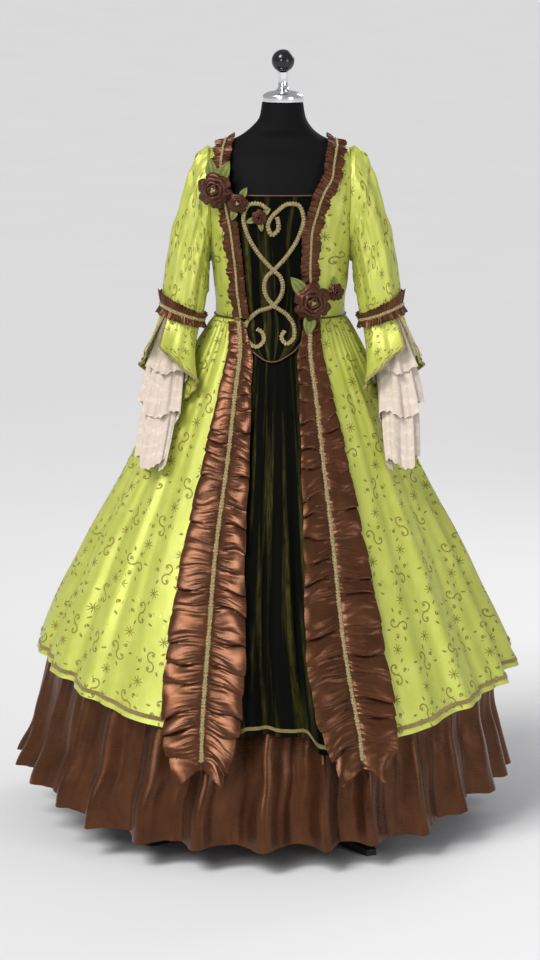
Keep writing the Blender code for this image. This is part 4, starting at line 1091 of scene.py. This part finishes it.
def fine_overskirt_point(u, v):
    """Overskirt with the gathers under its waist and smaller folds between the large ones."""
    fade = 1 - np.exp(-(np.minimum(u, 1 - u) / EDGE_FADE) ** 2)
    grid = overskirt_point(u, v)
    turn = 2 * math.pi * u
    gather = ripple((0.0030, 74 * turn + 2 * np.sin(5 * turn))) * np.clip(v / 0.012, 0, 1)
    gather = gather * np.exp(-(v / 0.13) ** 1.3)
    small = v ** 0.6 * ripple((0.0030, 33 * turn + 1.5 * np.sin(3 * turn)), (0.0036, 52 * turn + 2.0 * v))
    slack = np.sin(math.pi * v) * ripple((0.0016, 13 * turn + 9.0 * v), (0.0010, 29 * turn - 14.0 * v))
    return grid + outward(grid) * ((gather + small + slack - 0.0006) * fade)[..., None]


def make_fine_overskirt(brocade, trim):
    u, v = np.meshgrid(np.linspace(0, 1, OVERSKIRT_FOLDS * 18 + 1), dense((0, 0.06, 0.2, 1.0), 22))
    grid = fine_overskirt_point(u, v)
    shell("overskirt_cloth", grid, 0.0012, brocade, ["overskirt"], uv=gore_uv(grid, 12))
    across = np.linspace(0.004, 0.996, OVERSKIRT_FOLDS * 18)
    hem_band("overskirt_hem_braid", fine_overskirt_point, across, np.linspace(0.977, 0.987, 4), trim)


def fine_velvet_point(u, v):
    """Front panel with soft pleats that hang to a hem in three overlapping parts."""
    grid = velvet_point(u, v)
    sag = np.clip(v - 0.05, 0, 1) * (1 - u ** 2) * ripple((0.0022, 9 * u + 5 * v), (0.0015, 17 * u - 8 * v))
    pleat = ripple((0.0050, 15 * u + 1.2 * v), (0.0026, 27 * u + 3 * v))
    pleat = pleat * np.clip(v * 1.6 - 0.2, 0, 1) * (1 - u ** 4)
    grid[..., 1] += sag - pleat + 0.001
    middle = 1 / (1 + np.exp(-(u + 0.45) / 0.03))
    right = 1 / (1 + np.exp(-(u - 0.40) / 0.03))
    grid[..., 2] += v ** 6 * (0.013 * middle - 0.034 * right)
    grid[..., 1] += v ** 3 * (0.006 * middle - 0.012 * right)
    return grid


def make_fine_velvet(velvet, trim):
    u, v = np.meshgrid(np.linspace(-1, 1, 121), np.linspace(0, 1, 120))
    shell("velvet_front_panel", fine_velvet_point(u, v), 0.0014, velvet, ["velvet_panel"])
    across = np.linspace(-0.97, 0.97, 160)
    hem_band("velvet_hem_braid", fine_velvet_point, across, np.linspace(0.979, 0.988, 4), trim)


def make_fine_underskirt(satin):
    """Plain upper part, then the flounce with crisp folds, gathers at its seam and a wavy hem."""
    rows = np.concatenate([np.linspace(0, 1, 9), 1 + np.linspace(0, 1, 38)[1:] ** 1.1])
    u, v = np.meshgrid(full_turn(FLOUNCE_FOLDS * 18) - math.pi, rows)
    grid = underskirt_point(u, v)
    low = np.clip(v - 1, 0, 1)
    phase = FLOUNCE_FOLDS * u
    crisp = ripple((0.0060, 2 * phase + 2.0), (0.0026, 3 * phase + 1.6 + 2 * np.sin(4 * u)))
    crisp = (crisp + ripple((0.0016, 5 * phase + 6 * low))) * low ** 0.6
    gather = 0.0020 * np.cos(4 * phase + 3 * np.sin(7 * u)) * np.exp(-(low / 0.2) ** 2)
    slack = 0.0022 * np.sin(19 * u + 7 * low) * np.sin(math.pi * low)
    grid = grid + outward(grid) * ((crisp + gather + slack) * (v > 1))[..., None]
    grid[..., 2] += low ** 2 * (0.0065 * np.abs(np.sin(phase / 2 + 0.3)) - 0.0020)
    shell("underskirt_flounce", grid, 0.0010, satin, ["underskirt"], ring=True)


def ruffle_turn(t):
    """Phase of the ruffle's puffs: short under the waist, long from the hips down."""
    drift = 1.1 * np.sin(23 * t) + 0.7 * np.sin(41 * t + 1.0) + 0.4 * np.sin(73 * t)
    return 2 * math.pi * (PUFF_RATE * t + PUFF_CROWD * PUFF_FADE * (1 - np.exp(-t / PUFF_FADE))) + drift


def fine_skirt_ruffle(side, s, t):
    """Ruched band whose rounded puffs fan out from its braid and hang over each other."""
    name = "left" if side < 0 else "right"
    z = SKIRT_RUFFLE.start + (SKIRT_RUFFLE.end - SKIRT_RUFFLE.start) * t
    reach = np.where(s > 0, SKIRT_RUFFLE.at("outer", z), SKIRT_RUFFLE.at("inner", z))
    far = np.abs(s)
    size = np.clip(reach / 0.06, 0.3, 1.2)
    turn = ruffle_turn(t + 0.011 * side) + (s > 0) * (1.2 + 1.3 * np.sin(29 * t + side)) * far
    turn = turn + 0.9 * np.sin(5.0 * s + 37 * t + side) * far
    puff = np.abs(np.sin(turn / 2 + 0.25 * np.sin(turn)))
    tuck = np.abs(np.sin(0.69 * turn + 1.4 * s + 2.0 * np.sin(19 * t)))
    puff = np.maximum(0.80 * puff, 0.72 * tuck * (0.4 + 0.6 * far)) + 0.20 * puff * tuck
    x = OPENING.at(name, z)
    x = x + side * s * reach * (1 + 0.09 * (puff ** 0.5 - 0.75) * far + 0.02 * np.sin(47 * t + 2 * s) * far)
    fall = TAIL_FALL * far ** 1.5 * t ** 3 + 0.017 * size * far * (puff - 0.5)
    height = SKIRT_RUFFLE.at("wave", z) * far ** 0.55 * (1 - 0.30 * far ** 6)
    crease = ripple((0.0011, 4 * turn + 1.5 * s + 1.0), (0.0007, 7 * turn - 2 * s))
    crease = crease * np.exp(-((far - 0.25) / 0.30) ** 2)
    bow = 0.42 * reach ** 2 * (1 + far) + 0.0018 * np.clip((z - 1.0) / 0.1, 0, 1)
    out = SATIN + 1.6 * LAY + 0.0008 + bow + height * (2.3 * puff ** 0.75 + 0.1) + crease * size
    return on_front(x, z - fall, out)


def make_fine_skirt_ruffles(satin, gold):
    for word, side in SIDES:
        s, t = np.meshgrid(np.linspace(-1, 1, 25), np.linspace(0, 1, 601))
        grid = fine_skirt_ruffle(side, s, t)
        shell(f"skirt_ruffle_satin_{word}", grid, 0.0009, satin, [f"skirt_ruffle_{word}"])
        t = np.linspace(0.002, 0.985, 560)
        path = fine_skirt_ruffle(side, np.zeros_like(t), t)
        up = shape_normal(angle_at(path[:, 0], path[:, 2]), path[:, 2])
        zig = zigzag(560, 0.22)
        tube(f"skirt_braid_{word}", path + up * 0.0006, up, 0.0100 * zig, 0.0034 * zig, gold)


def fine_neck_ruffle(side, s, t):
    """Ruffle with narrow pleats between its large waves."""
    far = np.abs(s)
    turn = 2 * math.pi * NECK_RUFFLE_WAVES * t
    pleat = np.cos(4 * turn + 1.2 * np.sin(turn)) * 0.0013 + np.cos(7 * turn + 1.0) * 0.0006
    grid = neck_ruffle_point(side, s * (1 + 0.05 * np.cos(4 * turn + 1) * far), t)
    up = shape_normal(*edge_angle(t * EDGE_LAST, side))
    return grid + up * (pleat * (far + 0.25) + 0.0010)[..., None]


def make_fine_neck_ruffles(satin, gold):
    for word, side in SIDES:
        along = np.linspace(0, 1 - NECK_RUFFLE_GAP, NECK_RUFFLE_WAVES * 32 + 1)
        s, t = np.meshgrid(np.linspace(-1, 1, 15), along)
        grid = fine_neck_ruffle(side, s, t)
        shell(f"neck_ruffle_satin_{word}", grid, 0.0008, satin, [f"neck_ruffle_{word}"])
        t = np.linspace(0.002, 0.998, 420)
        path = fine_neck_ruffle(side, np.zeros_like(t), t)
        up = shape_normal(*edge_angle(t * EDGE_LAST, side))
        wide = 0.0056 * zigzag(420, 0.18)
        tube(f"neck_braid_{word}", path + up * 0.0004, up, wide, 0.0026, gold)


def finer(values, times):
    """Grid with straight steps put between its rows and columns."""
    rows = np.array([np.interp(dense(np.arange(len(r)), times), np.arange(len(r)), r) for r in values])
    return np.array([np.interp(dense(np.arange(len(c)), times), np.arange(len(c)), c) for c in rows.T]).T


def make_fine_bodice(brocade):
    """Four bodice panels with a slight pull in the cloth, flat along their seams."""
    for word, side in SIDES:
        for place in ("front", "back"):
            angles, heights = (finer(values, 6) for values in bodice_panel(side, place == "back"))
            pull = ripple((0.0007, 16 * angles + 55 * heights), (0.0005, 34 * angles - 38 * heights))
            pull = pull + ripple((0.0004, 90 * heights))
            rim = np.minimum.outer(np.arange(angles.shape[0]), np.arange(angles.shape[1]))
            edge = np.clip(np.minimum(rim, rim[::-1, ::-1]) / 6.0, 0, 1)
            normals = shape_normal(angles, heights)
            grid = shape(angles, heights) + normals * (pull * edge)[..., None]
            name = f"{place}_{word}"
            shell(f"bodice_cloth_{name}", grid, 0.0012, brocade, [f"bodice_{name}"],
                  normals=normals)


def stomacher_grid(times):
    angles, heights = [], []
    across = np.linspace(-1, 1, 9)
    for z, left, right in stomacher_rows():
        gap = SEAM / SHAPE.at("front", z)
        angles.append((left + right) / 2 + across * ((right - left) / 2 - gap))
        heights.append(z - LOBE_TIP * (1 - across ** 2) * (z == LOBE[-1][0]))
    return finer(np.array(angles), times), finer(np.array(heights), times)


def make_fine_stomacher(velvet, piping):
    """Velvet panel with piping along its top and round its lobe."""
    angles, heights = stomacher_grid(7)
    dent = ripple((0.0004, 30 * angles + 60 * heights), (0.0003, 60 * angles - 45 * heights))
    normals = shape_normal(angles, heights)
    grid = shape(angles, heights) + normals * dent[..., None]
    shell("stomacher_velvet", grid, 0.0014, velvet, ["stomacher"], normals=normals)
    top = shape(angles[0], heights[0] + 0.0006)
    tube("stomacher_top_piping", top, normals[0], 0.0032, 0.0030, piping)
    low = heights[:, 0] < WAIST - 0.004
    loop = []
    for part in (angles, heights):
        loop.append(np.concatenate([part[low, 0], part[-1, 1:], part[low, -1][::-1][1:]]))
    tube("stomacher_lobe_piping", shape(*loop), shape_normal(*loop), 0.0034, 0.0032, piping)


def make_scroll_braid(gold):
    """Bumpy gold braid: the heart with its tear, the oval and the curls. The left curl swings wider."""
    left = SCROLL[:LEFT_CURL_FROM] + LEFT_CURL
    for name, points, mirror in (("scroll_braid_right", TEAR + SCROLL, 1), ("scroll_braid_left", left, -1)):
        path = np.array(points) * np.array([mirror, 1.0]) * 0.001 + np.array(BRAID_AT)
        place = np.concatenate([[0.0], np.cumsum(np.linalg.norm(np.diff(path, axis=0), axis=1))])
        at = np.arange(0, place[-1], 0.0011)
        x, z = catmull(place, path[:, 0], at), catmull(place, path[:, 1], at)
        up = shape_normal(angle_at(x, z), z)
        bump = np.abs(np.sin(math.pi * at / 0.0055))
        lift = 0.0010 + (0.0008 if mirror < 0 else 0.0)
        wide, high = 0.0060 + 0.0044 * bump, 0.0030 + 0.0026 * bump
        nodes = ["scroll_braid"] if mirror > 0 else ()
        tube(name, on_front(x, z, lift), up, wide, high, gold, nodes)


def fine_sleeve(side, turn, t):
    """Sleeve with soft folds round the arm, wrinkles across it and gathers at both ends."""
    near_top, near_elbow = np.exp(-(t / 0.09) ** 2), np.exp(-((1 - t) / 0.10) ** 2)
    soft = np.sin(math.pi * np.clip(t, 0, 1)) ** 0.7
    fold = ripple((0.0030, 7 * turn + 2.2 * t), (0.0020, 12 * turn - 5 * t), (0.0010, 23 * turn + 3 * t))
    wrinkle = ripple((0.0012, 26 * t + 3 * np.cos(turn)), (0.0009, 41 * t - 4 * np.sin(turn)))
    gather = 0.0014 * near_elbow * np.cos(34 * turn) + 0.0012 * near_top * np.cos(30 * turn)
    return sleeve_grid(side, turn, t, soft * (fold + wrinkle) + gather * np.clip(t / 0.04, 0, 1))


def make_fine_sleeves(brocade):
    for word, side in SIDES:
        body = fine_sleeve(side, *np.meshgrid(full_turn(120), np.linspace(0, 1, 84)))
        steps = [body[:1] * (1 - k) + body[1:2] * k for k in (0.0, 0.25, 0.5, 0.75)]
        grid = np.concatenate(steps + [body[1:]])
        shell(f"sleeve_cloth_{word}", grid, 0.0011, brocade, [f"sleeve_{word}"], ring=True,
              centre=ring_centres(grid))


def fine_cuff(side, s, turn):
    """Elbow ruffle with narrow pleats: s from its upper edge -1 to its lower edge 1."""
    far = np.abs(s)
    turns = CUFF_WAVES * turn
    wave = np.cos(turns + 0.5 * s)
    pleat = 0.0012 * np.cos(4 * turns + 1.5 * np.sin(3 * turn)) + 0.0006 * np.cos(7 * turns)
    out = SATIN + 2 * LAY + far * (0.0046 + 0.0040 * wave) + pleat * (0.25 + far) + 0.0012
    points = sleeve_point(side, turn, CUFF_PLACE + s * CUFF_REACH * (1 + 0.06 * np.cos(4 * turns) * far), out)
    points[..., 2] -= 0.004 * s * far
    return points


def make_fine_cuffs(satin, gold):
    for word, side in SIDES:
        turn, s = np.meshgrid(full_turn(CUFF_WAVES * 36), np.linspace(-1, 1, 15))
        grid = fine_cuff(side, s, turn)
        shell(f"cuff_ruffle_satin_{word}", grid, 0.0008, satin, [f"cuff_ruffle_{word}"],
              ring=True, centre=ring_centres(grid))
        path = fine_cuff(side, np.zeros(240), full_turn(240))
        up = unit(path - path.mean(axis=0))
        wide = 0.0075 * zigzag(240, 0.18)
        tube(f"cuff_braid_{word}", path, up, wide, 0.0028, gold, closed=True)


def fine_wing(side, u, v):
    """Sleeve flounce with small folds and gathers at its seam."""
    grid = wing_point(side, u, v)
    turn = 2 * math.pi * WING_FOLDS * u
    fold = v * ripple((0.0026, 2 * turn + 1.0), (0.0016, 3 * turn + 4 * v))
    fold = fold + 0.0014 * np.exp(-(v / 0.2) ** 2) * np.cos(7 * turn)
    return grid + outward(grid - ring_centres(grid)) * fold[..., None]


def make_fine_wings(brocade, gold):
    """Sleeve flounces with braid along the hem and both front edges."""
    for word, side in SIDES:
        grid = fine_wing(side, *np.meshgrid(np.linspace(0, 1, 145), np.linspace(0, 1, 34)))
        middle = ring_centres(grid)
        nodes = [f"sleeve_flounce_{word}"]
        shell(f"sleeve_flounce_cloth_{word}", grid, 0.0010, brocade, nodes, centre=middle)
        hem = grid[-1] + np.array([0, 0, 0.003])
        up = unit(hem - hem.mean(axis=0))
        tube(f"sleeve_flounce_braid_{word}", hem + up * 0.0006, up, 0.0062, 0.0022, gold)
        for k in (0, 1):
            path = grid[::-1, -k]
            out = unit(path - middle[::-1, 0])
            name = f"sleeve_flounce_edge_{word}_{k}"
            tube(name, path + out * 0.0004, out, 0.0050, 0.0020, gold)


# Lace tiers: start and end along the fall, how far outside the lowest tier, flare at the edge, folds.
LACE_TIERS = (
    ("top", 0.02, 0.34, 0.0065, 0.010, 9),
    ("middle", 0.03, 0.62, 0.0032, 0.007, 8),
    ("low", 0.0, 0.95, 0.0, 0.0, 7),
)


def fine_lace(side, turn, v, start, end, out, flare, folds):
    """Gathered tier of lace: turn round the arm, v down from its seam to its scalloped edge."""
    along = start + (end - start) * v
    z = LACE_RINGS.start + (LACE_RINGS.end - LACE_RINGS.start) * along
    wave = np.cos(folds * turn + 0.6) + 0.35 * np.cos(2 * folds * turn + 2.0 * v)
    wave = wave + 0.25 * np.cos((2 * folds + 3) * turn)
    fold = 1 + (0.035 + 0.105 * v) * wave * calm(turn, LACE_CORNER, 0.5)
    wider = out * v ** 0.5 + flare * v ** 2
    half, depth = ((LACE_RINGS.at(name, z) + wider) * fold for name in ("half", "depth"))
    x = LACE_RINGS.at("left" if side < 0 else "right", z) + half * np.cos(turn)
    y = LACE_RINGS.at("y", z) - depth * np.sin(turn)
    scallop = 0.0045 * np.abs(np.sin(11 * turn)) * np.clip((v - 0.9) / 0.1, 0, 1)
    slant = 0.028 * np.cos(turn) * (1 - along) + 0.012 * np.cos(3 * turn) * v
    points = np.stack([side * (x - LACE_INWARD * along ** 1.5), y, z + slant + scallop], axis=-1)
    return clear_of_skirt(points, LACE_CLEAR)


def make_fine_lace(lace):
    for word, side in SIDES:
        for tier, *shape_of_tier in LACE_TIERS:
            grid = fine_lace(side, *np.meshgrid(full_turn(144), np.linspace(0, 1, 32)), *shape_of_tier)
            nodes = [f"lace_{word}"] if tier == "low" else ()
            shell(f"lace_{tier}_{word}", grid, 0.0006, lace, nodes, ring=True,
                  centre=ring_centres(grid))


def rose_frame(x, z):
    """Seat and the side, up and out directions of a rose, as in the solid."""
    seat, right, left = (on_front(np.array(x + step), np.array(z)) for step in (0.0, 0.004, -0.004))
    out = unit(np.cross(unit(right - left), [0.0, 0.0, 1.0]) + np.array([0.0, -ROSE_FACING, 0.0]))
    side = np.cross([0.0, 0.0, 1.0], out)
    return seat, side, np.cross(out, side), out


def on_frame(frame, across, up, out):
    """Points at distances along the three directions of a rose's frame."""
    seat, *directions = frame
    return seat + sum(size[..., None] * direction for size, direction in zip((across, up, out), directions))


# Layers of petals: how many, inner and outer radius, height of the rim, curl, share of a turn.
PETAL_LAYERS = (
    (6, 0.30, 1.00, 0.24, 0.20, 0.66),
    (5, 0.22, 0.80, 0.42, 0.18, 0.74),
    (4, 0.12, 0.55, 0.56, 0.12, 0.86),
    (3, 0.04, 0.30, 0.60, 0.05, 1.05),
)


def petal(frame, lift, radius, start, inner, outer, rim, curl, half):
    """Cupped petal with a curled rim, from its inner to its outer radius."""
    a, b = np.meshgrid(np.linspace(-1, 1, 13), np.linspace(0, 1, 12))
    turn = start + a * half * (0.50 + 0.50 * np.sin(math.pi * (0.12 + 0.62 * b)))
    round_rim = 1 - 0.16 * np.abs(a) ** 3 * b
    reach = radius * (inner + (outer - inner) * b ** 1.1 * round_rim + 0.035 * np.sin(5 * a + start) * b)
    cup = rim * np.sin(b * 0.62 * math.pi) ** 0.8 - curl * np.clip(b - 0.72, 0, 1) * 3.0
    height = radius * (0.05 + cup + 0.03 * np.cos(4 * a + 2 * start) * b)
    return on_frame(frame, reach * np.cos(turn), reach * np.sin(turn), height + lift)


def leaf_grid(frame, lift, radius, lean):
    """Pointed leaf that leaves the rose in one direction."""
    a, b = np.meshgrid(np.linspace(-1, 1, 9), np.linspace(0, 1, 16))
    along = radius * (0.55 + 1.20 * b)
    wide = radius * 0.34 * a * np.sin(math.pi * b ** 0.75) ** 0.9
    bend = 0.10 * np.sin(math.pi * b) + 0.07 * np.abs(a)
    height = 0.0014 + radius * bend * np.sin(math.pi * b) ** 0.5
    across = along * math.cos(lean) - wide * math.sin(lean)
    return on_frame(frame, across, along * math.sin(lean) + wide * math.cos(lean), height + lift)


def bead_grid(frame, lift, radius, turn, gap):
    """Small ball in the heart of a rose."""
    q, p = np.meshgrid(np.linspace(0, 2 * math.pi, 14), np.linspace(0.05, math.pi - 0.05, 9))
    ball = np.stack([np.sin(p) * np.cos(q), np.sin(p) * np.sin(q), np.cos(p)], axis=-1) * radius * 0.085
    offsets = gap * math.cos(turn), gap * math.sin(turn), lift + radius * 0.50
    return on_frame(frame, *(np.array(size) for size in offsets)) + ball


def merged(name, grids, thick, look, nodes=()):
    """Several thin closed walls in one piece."""
    made = [shell(f"{name}_{k}", grid, thick, look) for k, grid in enumerate(grids)]
    points, faces, uvs, start = [], [], [], 0
    for thing in made:
        mesh = thing.data
        co = np.empty(len(mesh.vertices) * 3, np.float32)
        mesh.vertices.foreach_get("co", co)
        index = np.empty(len(mesh.loops), np.int32)
        mesh.loops.foreach_get("vertex_index", index)
        spot = np.empty(len(mesh.loops) * 2, np.float32)
        mesh.uv_layers["cloth"].data.foreach_get("uv", spot)
        points.append(co.reshape(-1, 3).astype(float) - AXIS)
        faces.append(index.reshape(-1, 4) + start)
        uvs.append(spot.reshape(-1, 4, 2))
        start += len(mesh.vertices)
        bpy.data.objects.remove(thing)
    points, faces, uvs = np.concatenate(points), np.concatenate(faces), np.concatenate(uvs)
    return add_piece(name, points, faces, uvs, look, nodes)


def make_fine_roses(satin, leaf_look, gold):
    """Roses with four layers of petals, their leaves, and beads in the larger ones."""
    for name, x, z, lift, radius, leaves in ROSES:
        shift = ROSE_SHIFT.get(name, (0.0, 0.0))
        x, z = x + shift[0], z + shift[1]
        frame_of_rose = rose_frame(x, z)
        grids = []
        for k, (count, inner, outer, rim, curl, share) in enumerate(PETAL_LAYERS):
            half = math.pi / count * share * 1.5
            for n in range(count):
                start = 2 * math.pi * n / count + 0.9 * k + 10 * x
                grids.append(petal(frame_of_rose, lift, radius, start, inner, outer, rim, curl, half))
        merged(f"{name}_petals", grids, 0.0005, satin, [name])
        grids = [leaf_grid(frame_of_rose, lift, radius, math.radians(degrees)) for degrees in leaves]
        merged(f"{name}_leaves", grids, 0.0006, leaf_look)
        if radius > 0.022:
            gaps = [0.10, 0.10, 0.10, 0.0][:4 if radius > 0.03 else 3]
            beads = []
            for n, gap in enumerate(gaps):
                beads.append(bead_grid(frame_of_rose, lift, radius, 2.1 * n + x, radius * gap))
            merged(f"{name}_beads", beads, 0.0004, gold)


def make_waist_piping(piping):
    """Thin dark cord in the waist seam, from the ruffles round the back."""
    left, right = overskirt_edges(WAIST)[1] - 2 * math.pi, overskirt_edges(WAIST)[0]
    turn = np.linspace(right + 0.05, 2 * math.pi + left - 0.05, 300)
    path = shape(turn, WAIST + 0.0 * turn, 0.0004)
    up = shape_normal(turn, WAIST + 0.0 * turn)
    tube("waist_piping", path, up, 0.0036, 0.0030, piping)


def make_fine_form(jersey):
    """Torso of the form with hips, waist, bust, shoulders and neck."""
    turns = full_turn(120) - math.pi
    rings = []
    for z in np.linspace(HIPS.start, HIPS.end, 24):
        half, front, back = (HIPS.at(name, z) for name in HIPS.names[1:])
        rings.append(np.column_stack([*oval(turns, half, half, front, back, FORM_SQUARE), np.full(120, z)]))
    for z in dense(FORM_HEIGHTS, 4):
        inset = FORM_INSET.at("inset", z)
        left, right, front, back = (SHAPE.at(name, z) - inset for name in SHAPE.names[1:5])
        middle, half = (right - left) / 2, min((left + right) / 2, FORM_SIDE)
        x, y = oval(turns, half - middle, half + middle, front, back, SHAPE.at("square", z))
        rings.append(np.column_stack([x, y, np.full(120, z)]))
    ends = [rings[0] * np.array([k, k, 1.0]) for k in (0.02, 0.5, 0.95)]
    for k in (0.9, 0.5, 0.02):
        rings.append(rings[-1] * np.array([k, k, 1.0]))
    turned("form_jersey_torso", np.array(ends + rings), jersey, ["form_torso"])


def make_fine_fittings(metal, gloss, chrome, iron):
    lathe("neck_cap_metal", CAP, 96, metal, ["neck_cap"])
    lathe("finial_post", POST, 64, chrome)
    ball = [(0.0, KNOB_HEIGHT - KNOB_RADIUS)]
    for a in np.linspace(0.1, math.pi - 0.06, 40):
        ball.append((KNOB_RADIUS * math.sin(a), KNOB_HEIGHT - KNOB_RADIUS * math.cos(a)))
    ball.append((0.0, KNOB_HEIGHT + KNOB_RADIUS))
    lathe("finial_knob", ball, 72, gloss, ["finial"])
    stand = frame["nodes"]["stand"]
    stand.data.materials.clear()
    stand.data.materials.append(iron)


def make_stage():
    """Wide pale floor."""
    look = Look("pale_floor")
    haze = look.noise(look.node("TexCoord", "Object", {}), 1.2, 2.0)
    colour = look.mix(haze, (0.77, 0.77, 0.78), (0.80, 0.80, 0.81))
    points = [(FLOOR * math.cos(a), FLOOR * math.sin(a), 0.0) for a in full_turn(96)]
    mesh = bpy.data.meshes.new("floor")
    mesh.from_pydata(points, [], [tuple(range(len(points)))])
    mesh.materials.append(look.done(colour, {}, Roughness=0.9, Specular_IOR_Level=0.2))
    thing = bpy.data.objects.new("floor", mesh)
    bpy.context.scene.collection.objects.link(thing)


# Soft panels: name, place, height of the point they face, size, watts, colour.
PANELS = (
    ("front", (-1.6, -4.6, 2.6), 0.9, 1.2, 45.0, (1.0, 1.0, 1.0)),
    ("fill", (3.6, -3.6, 2.0), 0.8, 1.6, 38.0, (0.97, 0.98, 1.0)),
    ("rim", (1.8, 2.6, 2.8), 1.2, 1.6, 30.0, (1.0, 1.0, 1.0)),
)


def add_light(data, place, facing, colour):
    """Light at a place that shines in a direction."""
    data.color = colour
    thing = bpy.data.objects.new(data.name, data)
    thing.location = place
    thing.rotation_euler = Vector(facing).to_track_quat("-Z", "Y").to_euler()
    bpy.context.scene.collection.objects.link(thing)


def make_lights():
    """Soft sun from the upper left, three soft panels and a pale sky."""
    sun = bpy.data.lights.new("key", "SUN")
    sun.energy = 2.35
    sun.angle = math.radians(26.0)
    add_light(sun, (0.0, 0.0, 0.0), (0.50, 0.62, -0.86), (1.0, 0.985, 0.965))
    for name, place, height, size, watts, colour in PANELS:
        data = bpy.data.lights.new(name, "AREA")
        data.shape = "RECTANGLE"
        data.size, data.size_y = size, size
        data.energy = watts
        add_light(data, place, Vector((0.0, 0.0, height)) - Vector(place), colour)
    world = bpy.data.worlds.new("studio")
    world.use_nodes = True
    sky = world.node_tree.nodes["Background"].inputs
    sky["Color"].default_value = (0.86, 0.87, 0.90, 1.0)
    sky["Strength"].default_value = 0.42
    bpy.context.scene.world = world


def make_camera():
    """Camera at the photo's angle."""
    data = bpy.data.cameras.new("camera")
    data.lens = FOCAL
    data.sensor_width = 36.0
    camera = bpy.data.objects.new("camera", data)
    camera.location = (AXIS_X + CAMERA[0], AXIS_Y + CAMERA[1], CAMERA[2])
    camera.rotation_euler = (math.radians(90.0 - CAMERA_PITCH), 0.0, 0.0)
    bpy.context.scene.collection.objects.link(camera)
    bpy.context.scene.camera = camera
    bpy.context.scene.view_settings.view_transform = "Standard"


def main():
    brocade = make_brocade()
    satin = make_satin("brown_satin", (0.070, 0.0225, 0.0066), (0.145, 0.050, 0.0155), 0.27, 0.65)
    rose = make_satin("rose_satin", (0.030, 0.0090, 0.0035), (0.130, 0.042, 0.018), 0.34, 0.6)
    piping = make_satin("brown_piping", (0.075, 0.030, 0.014), (0.18, 0.085, 0.035), 0.4, 0.2)
    cord = make_satin("dark_cord", (0.020, 0.016, 0.006), (0.060, 0.048, 0.016), 0.5, 0.0)
    velvet = make_velvet()
    lace = make_lace_look()
    gold = make_gold("gold_braid", (0.13, 0.085, 0.022), (0.80, 0.65, 0.32))
    trim = make_gold("olive_gold_braid", (0.13, 0.085, 0.022), (0.48, 0.37, 0.13), 0.3)
    jersey = make_jersey()
    metal = make_hard("brushed_aluminium", (0.78, 0.79, 0.80), 0.24, 1.0, 260.0)
    chrome = make_hard("chrome_post", (0.80, 0.80, 0.82), 0.12, 1.0, 120.0)
    gloss = make_hard("black_gloss", (0.008, 0.008, 0.009), 0.14, 0.0, 150.0)
    iron = make_hard("black_paint", (0.015, 0.015, 0.016), 0.45, 0.0, 420.0)
    leaf = make_leaf_look()

    make_fine_form(jersey)
    make_fine_fittings(metal, gloss, chrome, iron)
    make_fine_bodice(brocade)
    make_fine_stomacher(velvet, piping)
    make_scroll_braid(gold)
    make_fine_overskirt(brocade, trim)
    make_fine_velvet(velvet, trim)
    make_fine_underskirt(satin)
    make_fine_skirt_ruffles(satin, gold)
    make_fine_neck_ruffles(satin, gold)
    make_fine_sleeves(brocade)
    make_fine_cuffs(satin, gold)
    make_fine_wings(brocade, gold)
    make_fine_lace(lace)
    make_fine_roses(rose, leaf, gold)
    make_waist_piping(cord)
    make_stage()
    make_lights()
    make_camera()


main()
